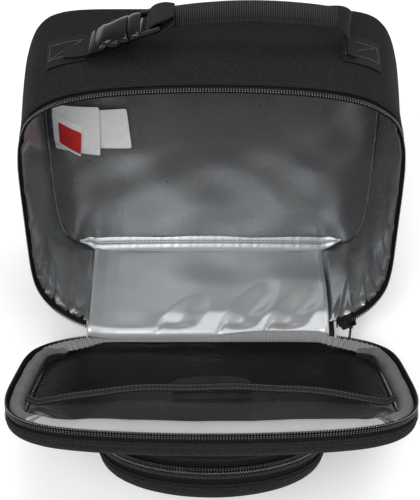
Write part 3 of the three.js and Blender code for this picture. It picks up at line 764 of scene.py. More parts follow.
def build_liner_floor():
    xs = np.linspace(FLOOR_LEFT - 0.6, FLOOR_RIGHT + 0.6, 150)
    lip_y = [-3.6, -3.0, -2.3, -1.4, -0.3, 1.2]
    lip_z = [-3.2, -1.5, 0.1, 1.5, 2.6, 3.4]
    ys = np.concatenate([lip_y, np.linspace(3.0, 40, 30), np.linspace(43, LINER_BACK, 20)])
    x, y = np.meshgrid(xs, ys)
    low = np.interp(y, [*lip_y, 3.0, LINER_BACK], [*lip_z, 3.8, 8.3])
    rim_rise = np.interp(np.abs(x), [0, 70, 80, 91], [0, 0, 0.8, 2.9])
    z = low + rim_rise * (0.8 + 0.2 * smooth_step(y, -2, 4))
    # The hinge pushes the film up into a low mound, with valleys pressed into it.
    z += 5.4 * smooth_step(x, -58, -8) * smooth_step(y, -1, 15) * (1 - smooth_step(y, 34, 70))
    for x0, y0, wide, deep, high in ((-22, 10, 16, 20, 3.4), (25, 14, 15, 33, 5.0),
                                     (59, 13, 16, 31, 4.6)):
        lean = (x - x0) - 0.62 * (y - y0)
        r = np.sqrt(np.where(lean < 0, (lean / (0.9 * wide)) ** 2, (lean / (1.1 * wide)) ** 2)
                    + ((y - y0) / deep) ** 2)
        z -= high * np.clip(1 - r ** 1.6, 0, 1) ** 1.3 * smooth_step(y, -1, 8)
        crease = (lean + 0.72 * wide) / 1.3
        z -= 0.26 * high * np.exp(-crease ** 2) * smooth_step(13 - y, 0, 9) * smooth_step(y, -3, 2)
    z += soft_waves(np.stack([x, y, z * 0], axis=2), 0.8, 31) * smooth_step(y, 4, 20)
    z -= 1.0 * np.exp(-((np.abs(x - (FLOOR_LEFT + FLOOR_RIGHT) / 2)
                          - (FLOOR_RIGHT - FLOOR_LEFT) / 2) / 0.8) ** 2)
    # The floor takes the lighter copy of the silver film: painted light.
    floor = grid_piece("liner_floor", np.stack([x, y, z], axis=2), SILVER_PAINTED_LIT, BAG,
                       None, "silver_liner", replaces=("liner_bottom",))
    thicken(floor, FILM_THICK, 0, 0)
    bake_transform(floor)


def build_liner_back():
    line = liner_outline(LINER_BACK)
    centre = np.array([0, 106.0])
    rows = []
    for scale in (1.004, 0.975, 0.94, 0.88, 0.8, 0.7, 0.58, 0.45, 0.32, 0.2, 0.08):
        ring = centre + (line - centre) * scale
        rows.append(row_at(ring, LINER_BACK - 0.1))
    points = np.array(rows)
    bulge = soft_waves(points, 1.2, 17)
    fade = 1 - np.array([1, 0.9, 0.6, 0.3, 0.1, 0, 0, 0, 0, 0, 0])[:, None]
    points[..., 1] -= (1.2 + bulge) * fade
    back = grid_piece("liner_rear", points, SILVER, BAG, "bag_body", "silver_liner",
                      closed=True, cap=True, replaces=("liner_back",))
    weld(back)
    thicken(back, FILM_THICK, 0, 1)

    # The welded seam round it: a narrow roll of film.
    seam = inset_outline(liner_outline(86.6), 1.0)
    path = resample(row_at(seam, 86.4)[first_to_last(seam[:, 1] > 17)], 3.0)
    path[:, 1] += 0.5 * np.sin(np.arange(len(path)) * 0.9)
    tube("liner_rear_roll", path, 1.15, SILVER, BAG, "bag_body", "silver_liner", sides=8,
         up=(0, 1, 0), squeeze=1.4)


def build_seam_ridge():
    """The double roll where the back meets the floor, with crumpled ends."""
    section = [(81.0, 8.2), (79.9, 8.3), (79.5, 8.9), (80.5, 10.6), (82.0, 12.4), (83.2, 13.4),
               (84.2, 13.3), (84.6, 12.5), (85.0, 13.1), (85.6, 14.2), (86.8, 15.8), (87.9, 16.9),
               (88.8, 16.6)]
    xs = np.linspace(-102, 100, 130)
    rows = []
    source = random.Random(4)
    crumple = [(source.uniform(0.4, 1.3), source.uniform(0, 6.28), source.uniform(0.5, 1.6))
               for _ in range(5)]
    for y, z in section:
        ends = smooth_step(np.abs(xs + 1), 80, 104)
        arch = 1.6 * np.cos(xs / 105 * math.pi / 2) - 0.6
        slim = (1 - 0.45 * ends) * (1 - 0.8 * smooth_step(np.abs(xs + 1), 91, 102))
        lift = 8.2 + (z - 8.2) * slim + arch * smooth_step(z, 8.4, 11)
        lift = lift + 9 * smooth_step(np.abs(xs + 1), 84, 106)
        wave = sum(a * np.sin(w * xs + p) for a, p, w in crumple) * 0.4
        lift = lift + wave * (0.15 + 0.4 * ends) * smooth_step(z, 8.4, 11)
        depth = 86 + (y - 86) * slim - 0.7 * ends * np.sin(xs * 0.55)
        depth = depth - 3.0 * smooth_step(np.abs(xs + 1), 92, 106)
        rows.append(np.stack([xs, depth, lift], axis=1))
    # The ridge takes the lighter copy of the silver film: painted light.
    ridge = grid_piece("liner_ridge", rows, SILVER_PAINTED_LIT, BAG, "bag_body", "silver_liner",
                       replaces=("liner_seam_ridge",))
    thicken(ridge, FILM_THICK, 0, 1)
    path = np.array(rows)[9][12:-12].copy()
    path[:, 1] -= 0.5
    stitches("ridge_stitches", path, np.tile([0, -0.8, 0.6], (len(path), 1)), COIL_THREAD,
             BAG, "bag_body", "silver_liner", pitch=3.2, radius=0.22)


def build_labels():
    """Three satin labels held in the left rear seam, drooping away from it."""
    items = [
        ("label_long", [(-113, 137.5), (-60, 140.6), (-57.5, 105), (-113, 106)], 85.6,
         (0.0545, 0.035)),
        ("label_middle", [(-113, 145), (-79, 143.5), (-80.5, 100.5), (-113, 106)], 83.2,
         (0.034, 0.042)),
        ("label_short", [(-113, 140), (-92.0, 129), (-94.5, 102), (-113, 114)], 80.8,
         (0.021, 0.028)),
    ]
    for index, (name, corners, depth, flat) in enumerate(items):
        (x0, z0), (x1, z1), (x2, z2), (x3, z3) = corners
        u, v = np.meshgrid(np.linspace(0, 1, 15), np.linspace(0, 1, 11))
        x = (1 - v) * ((1 - u) * x0 + u * x1) + v * ((1 - u) * x3 + u * x2)
        z = (1 - v) * ((1 - u) * z0 + u * z1) + v * ((1 - u) * z3 + u * z2)
        y = depth - 1.6 * np.sin(u * math.pi * 0.8) - (0.6 + index) * u * np.sin(v * 2.6) - 0.5 * u
        label = grid_piece(name, np.stack([x, y, z], axis=2), LABEL, BAG, "bag_body", "label",
                           replaces=(f"care_label_{index + 1}",))
        thicken(label, LABEL_THICK, 0, 1)
        if name == "label_short":
            rows = slice(2, 10)
            cols = slice(3, 15)
            area = np.stack([x, y - 0.25, z], axis=2)[rows, cols]
            patch = grid_piece("label_plain_patch", area, PATCH_RED, BAG, "bag_body", "label")
            thicken(patch, PATCH_THICK, 0, 1)


# ---- Lid ---------------------------------------------------------------------------------


def lid_row(points, q):
    depths = np.broadcast_to(np.asarray(q, float), (len(points),))
    return row_at(points, -depths)


def build_lid_shell():
    rows = [lid_row(inset_outline(LID_RIM, 1.6), 6.6), lid_row(inset_outline(LID_RIM, 0.9), 6.1),
            lid_row(inset_outline(LID_RIM, 0.1), 6.3), lid_row(LID_RIM, 7.5)]
    for degrees in (0, 12, 24, 38, 52, 66, 80, 90):
        angle = math.radians(degrees)
        rows.append(lid_row(inset_outline(LID_RIM, 27 * (1 - math.cos(angle)) ** 1.1),
                            10.2 + 8.6 * math.sin(angle)))
    centre = np.array([0, 104.0])
    last = inset_outline(LID_RIM, 27)
    for scale in (0.9, 0.75, 0.55, 0.35, 0.12):
        rows.append(lid_row(centre + (last - centre) * scale, 18.9))
    points = np.array(rows)
    shell = grid_piece("lid_fabric", points, FABRIC, LID, "lid", "black_fabric", closed=True,
                       cap=True, replaces=("lid_side_wall", "lid_front_panel"))
    weld(shell)
    thicken(shell, FABRIC_THICK)
    around = slice(20, OUTLINE_COUNT - 20)
    normals = row_at(outward_of(LID_RIM), 0)
    stitches("lid_stitches", lid_row(LID_RIM, 8.6)[around], normals[around], THREAD, LID,
             "lid", "black_fabric", pitch=SEAM_PITCH, lift=0.3)


# Sections across the lid's border, as inset from the rim and depth. It is narrow at the sides
# and wide along the front.
SIDE_BORDER = [(2.0, 5.4), (2.4, 3.3), (3.5, 1.7), (5.2, 1.0), (6.4, 2.0), (7.5, 1.1), (9.2, 1.5),
               (10.9, 3.4), (11.6, 6.6), (11.4, 10.2)]
FRONT_BORDER = [(2.0, 5.4), (2.5, 3.0), (4.2, 1.2), (7.8, -0.3), (12.0, -1.3), (16.0, -1.5),
                (19.8, -0.3), (22.4, 2.8), (23.2, 6.8), (22.2, 10.4)]


def border_strip(name, keep, material, front, **more):
    """A padded roll inside the lid's rim. front is 0 on the sides and 1 along the front."""
    rows = []
    run = outline_run(LID_RIM)
    near_hinge = 1 - smooth_step(LID_RIM[:, 1], 17, 34)
    for (side_inset, side_q), (front_inset, front_q) in zip(SIDE_BORDER, FRONT_BORDER):
        inset = side_inset * (1 - front) + front_inset * front
        q = side_q * (1 - front) + front_q * front
        crown = smooth_step(10 - q, 1, 8)
        ripple = 0.45 * np.sin(run / 6.1 + side_inset * 0.2) + 0.3 * np.sin(run / 2.9 + 1.3)
        q = q + crown * ripple * (1 - 0.6 * front)
        q = q + 3.0 * near_hinge * smooth_step(10 - q, 0, 9)
        rows.append(lid_row(inset_outline(LID_RIM, inset), q)[keep])
    roll = grid_piece(name, rows, material, LID, "lid", "grey_lining", **more)
    soften(roll)


def build_lid_border():
    x, s = LID_RIM[:, 0], LID_RIM[:, 1]
    front = smooth_step(s, 168, 200) * (1 - 0.6 * smooth_step(np.abs(x), 56, 104))
    beside = (s > 19) & (s < 197)
    far = np.where(s > 186)[0]
    border_strip("lid_border_right", np.where((x > 0) & beside)[0], LINING, front)
    border_strip("lid_border_left", np.where((x < 0) & beside)[0], LINING, front)
    # The front band takes the lighter copy of the lining: painted light.
    border_strip("lid_border_front", far, LINING_PAINTED_LIT, front, replaces=("lid_border_roll",))
    line = inset_outline(LID_RIM, 4.4)
    facing = np.tile([0.0, 1.0, 0.0], (len(far), 1))
    stitches("front_band_stitches", lid_row(line, 2.0)[far], facing, PALE_THREAD,
             LID, "lid", "grey_lining", pitch=3.2, radius=0.3, lift=0.3)


LID_HALF_S = [p[1] for p in LID_HALF[3:16]]
LID_HALF_X = [p[0] for p in LID_HALF[3:16]]
LID_FILM_GAP = 10


def lid_reach(s, gap):
    """How far from the middle the lid reaches at s, less a gap."""
    return np.interp(s, LID_HALF_S, LID_HALF_X) - gap


def build_lid_liner():
    xs = np.linspace(-114, 114, 90)
    ss = np.linspace(3, 196, 80)
    x, s = np.meshgrid(xs, ss)
    limit = lid_reach(s, LID_FILM_GAP)
    x = np.clip(x, -limit, limit)
    q = 6.3 + 3.0 * smooth_step(s, 4, 26) + soft_waves(np.stack([x, s, s * 0], axis=2), 0.3, 41)
    for side in (-1, 1):
        for k in range(5):
            along = (side * x - 74 - 9 * k) + (s - 176) * 0.9
            near_corner = smooth_step(s, 140, 165) * smooth_step(side * x, 45, 75)
            q -= 1.5 * np.exp(-(along / 2.6) ** 2) * near_corner
    q -= 3.5 * smooth_step(s, 184, 195)
    # Dark film, darkened further all over with painted shade under the mesh.
    liner = grid_piece("lid_film", np.stack([x, -q, s], axis=2), DARK_FILM_AND_PAINTED_SHADE, LID, "lid",
                       "lid_liner", replaces=("lid_liner",))
    thicken(liner, LID_FILM_THICK, 0, 0)


MESH_PITCH = 2.35
MESH_HOLE = 0.60  # share of a cell
MESH_GAP = 8.6


def mesh_edge(x):
    """How far up the lid the mesh pocket's free edge lies."""
    return 131 + 7.5 * smooth_step(np.abs(x), 48, 112)


def mesh_depth(x, s):
    """The mesh bellies up in its middle and is held down at its sides."""
    side = 1 - np.clip(np.abs(x) / 113, 0, 1) ** 2.4
    lift = 8.2 * side * smooth_step(s, 14, 122)
    slack = 0.45 * np.sin(x / 9.0) * np.sin(s / 30) * side
    edge = np.abs(x) - np.interp(s, LID_HALF_S, LID_HALF_X) + 10
    held = 4.2 * smooth_step(edge, -10, 0) * smooth_step(s, 14, 45)
    return 5.3 + 2.8 * smooth_step(s, 5, 30) - lift + slack - held


def build_mesh_net():
    radius = MESH_PITCH / math.sqrt(3)
    vertices, faces, found = [], [], {}

    def vertex(x, s):
        key = (round(x * 50), round(s * 50))
        if key not in found:
            found[key] = len(vertices)
            limit = float(lid_reach(s, MESH_GAP))
            x = max(-limit, min(limit, x))
            s = min(s, float(mesh_edge(x)))
            vertices.append((x, -float(mesh_depth(x, s)), s))
        return found[key]

    row_step = MESH_PITCH * math.sqrt(3) / 2
    rows = int(136 / row_step)
    cols = int(2 * 114 / MESH_PITCH)
    for j in range(rows):
        s = 5.5 + j * row_step
        for i in range(cols):
            x = -114 + (i + 0.5 * (j % 2)) * MESH_PITCH
            limit = float(lid_reach(s, MESH_GAP)) + 1
            if abs(x) > limit or s > float(mesh_edge(x)) + 1:
                continue
            outer, inner = [], []
            for k in range(6):
                a = math.radians(60 * k + 30)
                outer.append(vertex(x + radius * math.cos(a), s + radius * math.sin(a)))
                inner.append(vertex(x + MESH_HOLE * radius * math.cos(a),
                                    s + MESH_HOLE * radius * math.sin(a)))
            for k in range(6):
                m = (k + 1) % 6
                faces.append((outer[k], outer[m], inner[m], inner[k]))
    panel = finish_mesh("mesh_net", vertices, faces, None, MESH_BLACK, LID, "lid", "mesh",
                        replaces=("mesh_pocket",))
    weld(panel, 1e-5)


def build_mesh_binding():
    """The mesh's bound free edge, with two rows of stitches."""
    xs = np.linspace(-113.5, 113.5, 90)
    top = mesh_edge(xs)
    depth = mesh_depth(xs, top)
    section = [(-1.9, -2.0), (-1.3, -2.7), (0.3, -1.4), (1.3, 0.2), (1.7, 1.1), (1.2, 1.6),
               (0.2, 0.6), (-1.2, -1.0)]
    points = np.array([np.stack([xs, -(depth + dq), top + ds], axis=1) for ds, dq in section])
    points = np.concatenate([points, points[:1]])
    edge = grid_piece("mesh_edge_binding", points, EDGE_BLACK, LID, "lid", "mesh_edge",
                      replaces=("mesh_binding",))
    weld(edge, 1e-6)
    for index, (ds, dq) in enumerate(((-0.4, -2.0), (1.35, 0.3))):
        path = np.stack([xs, -(depth + dq), top + ds], axis=1)
        stitches(f"mesh_edge_stitches_{index + 1}", path, np.tile([0.0, 0.6, 0.8], (len(xs), 1)),
                 COIL_THREAD, LID, "lid", "mesh_edge", pitch=2.6, radius=0.24, lift=0.12)


def build_closure_strips():
    """A hook strip behind the mesh's edge, arched above it, and its loop strip on the liner."""
    xs = np.linspace(-24.5, 24.5, 30)
    v = np.linspace(0, 1, 7)
    grid_x, grid_v = np.meshgrid(xs, v)
    arch = np.clip(1 - (np.abs(grid_x) / 25) ** 3.2, 0, 1) ** 0.6
    s = mesh_edge(grid_x) - 1.6 - grid_v * 6.5 * arch
    q = mesh_depth(grid_x, s) - 2.2 - 2.4 * arch * np.sin(grid_v * 2.0)
    hook = grid_piece("hook_strip", np.stack([grid_x, -q, s], axis=2), HOOKS, LID, "lid",
                      "hook_and_loop", replaces=("closure_strip_on_mesh",))
    thicken(hook, STRIP_THICK, 1, 0)
    v = np.linspace(0, 11, 8)
    grid_x, grid_v = np.meshgrid(xs, v)
    q = mesh_depth(grid_x, 131.0) + 2.6 + 0.27 * grid_v + 0.15 * np.sin(grid_x / 7)
    loop = grid_piece("loop_strip", np.stack([grid_x, -q, 130 + 0.5 * grid_v], axis=2), HOOKS, LID,
                      "lid", "hook_and_loop", replaces=("closure_strip_on_liner",))
    thicken(loop, STRIP_THICK, 1, 1)


def build_hinge_binding():
    """Grosgrain over the inside of the hinge, gathered at both ends."""
    order = np.concatenate([np.arange(OUTLINE_COUNT - 26, OUTLINE_COUNT), np.arange(0, 27)])
    both = np.concatenate([lid_row(LID_RIM, 0), row_at(outward_of(LID_RIM), 0)], axis=1)
    path = resample(both[order], 1.1)
    run = outline_run(path[:, :3])
    x = path[:, 0]
    ends = smooth_step(np.abs(x), 76, 92)
    right = smooth_step(x, -30, 40) * (1 - ends)
    gather = ends * (np.sin(run * 1.25) + 0.5 * np.sin(run * 2.3 + 1))
    q_top = 3.9 - 6.5 * right - 2.6 * ends
    inset_top = 1.6 + 1.5 * right + 1.6 * ends
    rows = []
    for share, puff in ((0, -0.6), (0.06, 0.3), (0.3, 0.8), (0.6, 0.7), (0.9, 0.2), (1, -0.5)):
        q = q_top + (5.9 + 1.4 * ends - q_top) * share + 0.5 * gather
        inset = inset_top + (4.4 + 5.0 * ends - inset_top) * share + puff
        inset = inset + 1.2 * gather * (0.4 + puff)
        row = path[:, :3] - path[:, 3:] * inset[:, None]
        row[:, 1] = -q
        rows.append(row)
    binding = grid_piece("hinge_grosgrain", rows, GROSGRAIN, LID, None, "grey_binding",
                         replaces=("hinge_binding",))
    thicken(binding, GROSGRAIN_THICK, 0, 1)
    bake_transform(binding)


def build_hinge_cover():
    """Fabric over the outside of the hinge, from the gusset to the lid's wall."""
    xs = np.linspace(-89.5, 89.5, 60)
    section = [(9.6, 0.9), (8.6, -0.1), (5, -0.5), (1.5, -0.7), (0, -0.9)]
    rise = np.interp(np.abs(xs), [60, 80, 86, 93], [0, 1.2, 2.6, 4.4])
    rows = [np.stack([xs, np.full(len(xs), y), z + rise], axis=1) for y, z in section]
    tilt = LID_TILT + LEAN
    for s, q in ((-0.7, 1.5), (-0.6, 5), (-0.3, 8.4), (0.6, 10.0)):
        y = -s * math.sin(tilt) - q * math.cos(tilt)
        z = s * math.cos(tilt) - q * math.sin(tilt)
        rows.append(np.stack([xs, y - rise * math.sin(tilt), z + rise * math.cos(tilt)], axis=1))
    cover = grid_piece("hinge_cover", rows, FABRIC, BAG, None, "black_fabric",
                       replaces=("hinge_fabric",))
    thicken(cover, HINGE_FABRIC_THICK, 0, 0)
    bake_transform(cover)


# ---- Round pocket --------------------------------------------------------------------------

POCKET_CENTRE = 105.0
POCKET_RADIUS = 72.5
POCKET_ZIP = 38.0
POCKET_GAP = 30.0  # degrees each side of the hinge with no zip
COIL_OVERLAP = 0.35


def ring_points(radius, q, start=0.0, end=360.0, count=120, closed=True):
    angles = np.radians(np.linspace(start, end, count, endpoint=not closed) - 90)
    r = np.broadcast_to(np.asarray(radius, float), angles.shape)
    return np.stack([r * np.cos(angles), np.full(count, -float(q)),
                     POCKET_CENTRE + r * np.sin(angles)], axis=1)


def turned(name, profile, body, replaces, cap=False):
    """A round fabric piece through a profile of radius and depth."""
    rows = [ring_points(r, q) for r, q in profile]
    piece = grid_piece(name, rows, FABRIC, LID, body, "black_fabric", closed=True, cap=cap,
                       replaces=replaces)
    thicken(weld(piece), POCKET_FABRIC_THICK)


def build_round_pocket():
    r = POCKET_RADIUS
    wall = [(r + 0.6, 17.8), (r + 0.3, 19), (r + 0.2, 21), (r + 0.6, 24.5), (r + 0.3, 28.5),
            (r, 30.6), (r - 0.3, 31.3), (r - 1.4, 31.1)]
    turned("pocket_wall_fabric", wall, "lid", ("pocket_wall",))
    cap = [(r - 1.4, 44.9), (r - 0.3, 44.7), (r, 45.4), (r + 0.2, 47.2), (r - 0.1, 49.4),
           (r - 0.9, 51.4), (r - 2.2, 53.3), (r - 4.0, 54.8), (r - 6.4, 55.7), (r - 9, 56.0),
           (56, 56.1), (42, 56.1), (26, 56.1), (12, 56.1), (4, 56.1)]
    turned("pocket_cap_fabric", cap, "pocket_cap", ("pocket_cap_band", "pocket_face"), cap=True)
    build_pocket_zip(r)
    build_pocket_hinge(r)
    for index, (radius, q, body) in enumerate(((r + 0.2, 28.9, "lid"),
                                               (r + 0.15, 47.4, "pocket_cap"))):
        path = ring_points(radius, q, 0, 360, 150, False)
        normals = path - np.array([0, -q, POCKET_CENTRE])
        stitches(f"pocket_stitches_{index + 1}", path, normals, THREAD, LID, body,
                 "black_fabric", pitch=SEAM_PITCH, lift=0.25)


def build_pocket_zip(r):
    start, end = POCKET_GAP, 360 - POCKET_GAP
    for name, q0, q1, body, node in (
            ("pocket_tape_low", 26, POCKET_ZIP - 0.7, "lid", "pocket_zip_tape_lower"),
            ("pocket_tape_high", POCKET_ZIP + 0.7, 49, "pocket_cap", "pocket_zip_tape_upper")):
        rows = [ring_points(r - 1.5, q, start, end, 110, False) for q in np.linspace(q0, q1, 6)]
        thicken(grid_piece(name, rows, TAPE, LID, body, "zip_tape", replaces=(node,)),
                TAPE_THICK, 0, 1)
    path = ring_points(r - 0.5, POCKET_ZIP, start, end, 200, False)
    line = path[:, [0, 2]]
    away = line - np.array([0, POCKET_CENTRE])
    away /= np.linalg.norm(away, axis=1)[:, None]
    coil("pocket_coil_low", line, away, 1, LID, "lid", ("pocket_zip_coil_lower",),
         -POCKET_ZIP - COIL_OVERLAP)
    coil("pocket_coil_high", line, away, -1, LID, "pocket_cap", ("pocket_zip_coil_upper",),
         -POCKET_ZIP + COIL_OVERLAP, phase=0.5)


def build_pocket_hinge(r):
    half = POCKET_GAP - 1
    for name, q0, q1, body, node in (
            ("pocket_hinge_low", 30.2, 37.6, "lid", "pocket_hinge_fabric"),
            ("pocket_hinge_high", 38.4, 46, "pocket_cap", "pocket_lip_fabric")):
        rows = [ring_points(r - 0.6, q, -half, half, 24, False) for q in np.linspace(q0, q1, 5)]
        thicken(grid_piece(name, rows, FABRIC, LID, body, "black_fabric", replaces=(node,)),
                HINGE_FABRIC_THICK, 0, 1)


# ---- Handle ----------------------------------------------------------------------------------

HANDLE_Y = 48.0


def top_height(x, y):
    """Height of the body's top surface."""
    line = body_outline(y)
    top = line[line[:, 1] > 120]
    order = np.argsort(top[:, 0])
    return float(np.interp(x, top[order, 0], top[order, 1]))


def build_patches():
    for side, start, end, name, node in ((-1, 80, 107, "patch_left", "handle_patch_left"),
                                         (1, 84, 110, "patch_right", "handle_patch_right")):
        rows = []
        for y in np.linspace(HANDLE_Y - 12.5, HANDLE_Y + 12.5, 9):
            row = []
            for x in np.linspace(start, end, 13):
                row.append((side * x, y, top_height(side * x, y) + 1.0))
            rows.append(row)
        points = np.array(rows)
        if side < 0:
            points = points[:, ::-1]
        patch = grid_piece(name, points, WEBBING, BAG, "bag_body", "webbing", replaces=(node,))
        thicken(patch, WEBBING_THICK, 0, 1)
        corners = [(2, 1), (2, 11), (6, 11), (6, 1), (2, 1), (6, 11)]
        path = np.concatenate([np.linspace(points[a], points[b], 8)[:-1]
                               for a, b in zip(corners[:-1], corners[1:])])
        for row in path:
            row[2] = top_height(row[0], row[1]) + 1.9
        up = np.tile([0.35 * side, 0.0, 0.93], (len(path), 1))
        stitches(f"{name}_box_stitches", path, up, COIL_THREAD, BAG, "bag_body", "webbing",
                 pitch=2.6, radius=0.3, lift=0.1)


def strip(name, centres, wides, widths, material, place, body, slot, thickness=WEBBING_THICK,
          **more):
    """Webbing: a strip along centres, with its width direction and width at each point."""
    centres = spline(centres, 6)
    wides = spline(wides, 6)
    wides = wides / np.linalg.norm(wides, axis=1)[:, None]
    widths = spline(np.asarray(widths, float)[:, None], 6)
    rows = [centres + wides * widths * share for share in (-0.5, -0.42, -0.2, 0, 0.2, 0.42, 0.5)]
    piece = grid_piece(name, np.array(rows), material, place, body, slot, **more)
    weld(piece)
    thicken(piece, thickness, 0, 1)
    return piece


def rework(node, name, body, bevel=0.35):
    """A CAD solid with eased edges and a moulded surface."""
    source = frame["nodes"][node]
    piece = bpy.data.objects.new(name, source.data.copy())
    bpy.context.collection.objects.link(piece)
    piece.matrix_world = source.matrix_world.copy()
    piece.data.materials.clear()
    piece.data.materials.append(METAL)
    bm = bmesh.new()
    bm.from_mesh(piece.data)
    bmesh.ops.remove_doubles(bm, verts=bm.verts, dist=1e-5)
    bmesh.ops.dissolve_limit(bm, angle_limit=math.radians(4), verts=bm.verts, edges=bm.edges)
    bm.to_mesh(piece.data)
    bm.free()
    ease = piece.modifiers.new("eased_edges", "BEVEL")
    ease.width = bevel * MM
    ease.segments = 2
    ease.limit_method = "ANGLE"
    ease.angle_limit = math.radians(32)
    for face in piece.data.polygons:
        face.use_smooth = True
    piece.modifiers.new("corners", "WEIGHTED_NORMAL")
    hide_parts(node)
    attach(piece, body)


BUCKLE_START = (-76.0, 43.2, 221.1)
BUCKLE_RISE = 22  # degrees


def lofted(name, stations, body, power=2.7, sides=28, replaces=(), side=1.0):
    """A moulded solid through rounded sections along the buckle. A station is its place
    along the buckle, middle and half width across it, and heights above and below."""
    place = BAG @ Matrix.Translation(Vector(BUCKLE_START) * MM) @ Matrix.Rotation(
        -math.radians(BUCKLE_RISE), 4, "Y")
    rows = []
    for a, middle, half, above, below in stations:
        row = []
        for k in range(sides):
            t = 2 * math.pi * k / sides
            c, d = math.cos(t), math.sin(t)
            across = math.copysign(abs(c) ** (2 / power), c) * half
            high = math.copysign(abs(d) ** (2 / power), d) * (above if d > 0 else below)
            row.append((a, side * (middle + across), high))
        rows.append(row)
    for end in (0, -1):
        middle = np.mean(rows[end], axis=0)
        ring = [tuple(middle)] * sides
        rows = [ring] + rows if end == 0 else rows + [ring]
    piece = grid_piece(name, rows, BUCKLE, place, body, "buckle_plastic", closed=True,
                       replaces=replaces)
    weld(piece)
    soften(piece, 1, 2)


def build_buckle():
    lofted("buckle_socket", [
        (-1.6, 0, 10, 0.9, 0.9), (-1.2, 0, 12.4, 1.7, 1.6), (0.6, 0, 13.3, 2.4, 2.2),
        (4, 0, 13.6, 3.0, 2.7), (7, 0, 13.7, 4.3, 3.6), (9, 0, 13.0, 5.0, 4.2),
        (11, 0, 11.4, 5.4, 4.4), (15, 0, 10.9, 5.6, 4.6), (18.5, 0, 11.8, 5.6, 4.6),
        (20.5, 0, 13.4, 5.4, 4.6), (24, 0, 13.9, 5.1, 4.5), (25.7, 0, 13.8, 4.9, 4.3),
        (26.1, 0, 13.3, 4.4, 3.9), (26.1, 0, 11.2, 2.9, 2.8), (24, 0, 10.6, 2.5, 2.5)],
        "handle_left", replaces=("buckle_female",))
    lofted("buckle_plug", [
        (26.5, 0, 12.6, 4.0, 3.7), (26.8, 0, 13.5, 4.7, 4.2), (29, 0, 13.8, 4.9, 4.3),
        (32, 0, 13.8, 4.3, 3.8), (34, 0, 13.6, 3.2, 2.9), (34.6, 0, 12.8, 2.4, 2.2)],
        "handle", replaces=("buckle_male",))
    for index, side in enumerate((-1, 1)):
        lofted(f"buckle_rail_{index + 1}", [
            (33, 12.4, 1.2, 2.4, 2.2), (37, 12.5, 1.3, 2.3, 2.1), (42, 12.5, 1.3, 2.1, 1.9),
            (46.6, 12.3, 1.3, 1.9, 1.8), (47.6, 12.0, 1.0, 1.2, 1.2)],
            "handle", sides=14, side=side)
        end = ("front", "rear")[index]
        lofted(f"buckle_spring_{end}", [
            (9.3, 10.4, 0.6, 1.4, 1.4), (10.6, 11.4, 1.3, 2.2, 2.2), (13.2, 12.6, 1.8, 2.8, 2.8),
            (17.2, 12.7, 1.8, 2.8, 2.8), (18.6, 11.4, 1.2, 2.3, 2.3), (26, 10.2, 1.2, 2.2, 2.2)],
            f"prong_{end}", sides=14, side=side, replaces=(f"buckle_prong_{end}",))
    for index, a in enumerate((39.5, 46.4)):
        lofted(f"buckle_bar_{index + 1}", [
            (a - 1.3, 0, 12.2, 0.6, 0.6), (a - 0.9, 0, 12.3, 1.3, 1.2),
            (a + 0.9, 0, 12.3, 1.3, 1.2), (a + 1.3, 0, 12.2, 0.6, 0.6)],
            "handle", sides=24, power=6)


STRAP_ACROSS = (0, 1, 0)


def build_left_strap():
    left = [(-95, 48, 213.2), (-87, 47.4, 214.2), (-81.5, 46.2, 215.8), (-78.6, 44.6, 218),
            (-76.6, 43.6, 220.6), (-73.2, 43.2, 225.1)]
    strap = strip("strap_left", left, [STRAP_ACROSS] * 6, [22, 22, 22, 23, 24, 24], WEBBING,
                  BAG, None, "webbing", replaces=("handle_strap_left",))
    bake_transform(strap)


def build_strap_fold():
    """The folded, sewn end of the webbing on the plug."""
    rise = math.radians(BUCKLE_RISE)
    along = np.array([math.cos(rise), 0, math.sin(rise)])
    up = np.array([-math.sin(rise), 0, math.cos(rise)])
    start = np.array(BUCKLE_START)
    fold = [start + along * a + up * b for a, b in
            ((58, 2.2), (52, 3.4), (46, 3.8), (41.5, 2.4), (40.6, 0), (41.5, -2.2), (46, -3.6),
             (51, -3.6), (56, -2.0))]
    strip("strap_fold", fold, [STRAP_ACROSS] * 9, [15, 22, 24, 24, 24, 24, 24, 22, 16], WEBBING,
          BAG, "handle", "webbing", thickness=FOLDED_WEBBING_THICK,
          replaces=("handle_strap_loop",))


def build_grip():
    """Webbing folded along its length and sewn below."""
    xs = np.linspace(-27, 80, 60)
    t = (xs + 27) / 107
    middle = 238.0 + 4.4 * np.sin(math.pi * t) - 0.6 * t
    swell = 0.75 + 0.25 * smooth_step(np.sin(math.pi * t), 0.05, 0.5)
    section = [(0, 7.4), (2.4, 6.9), (4.2, 4.6), (4.7, 1.0), (4.5, -2.0), (3.6, -2.6), (3.9, -3.4),
               (3.9, -6.2), (2.6, -7.2), (0, -7.5)]
    section += [(-y, z) for y, z in reversed(section[1:-1])]
    centre_y = HANDLE_Y - 1.8
    rows = [np.stack([xs, centre_y - y * swell, middle + z], axis=1) for y, z in section]
    rows.append(rows[0])
    grip = grid_piece("grip", np.array(rows), GRIP, BAG, "handle", "webbing",
                      replaces=("handle_grip",))
    weld(grip)
    close_ends(grip)
    soften(grip)
    for index, y in enumerate((-3.75, 3.75)):
        path = np.stack([xs, centre_y + y * swell, middle - 4.7], axis=1)
        side = np.tile([0.0, math.copysign(1, y), 0.0], (len(path), 1))
        stitches(f"grip_stitches_{index + 1}", path, side, THREAD, BAG, "handle", "webbing",
                 pitch=2.8, radius=0.28, lift=0.15)


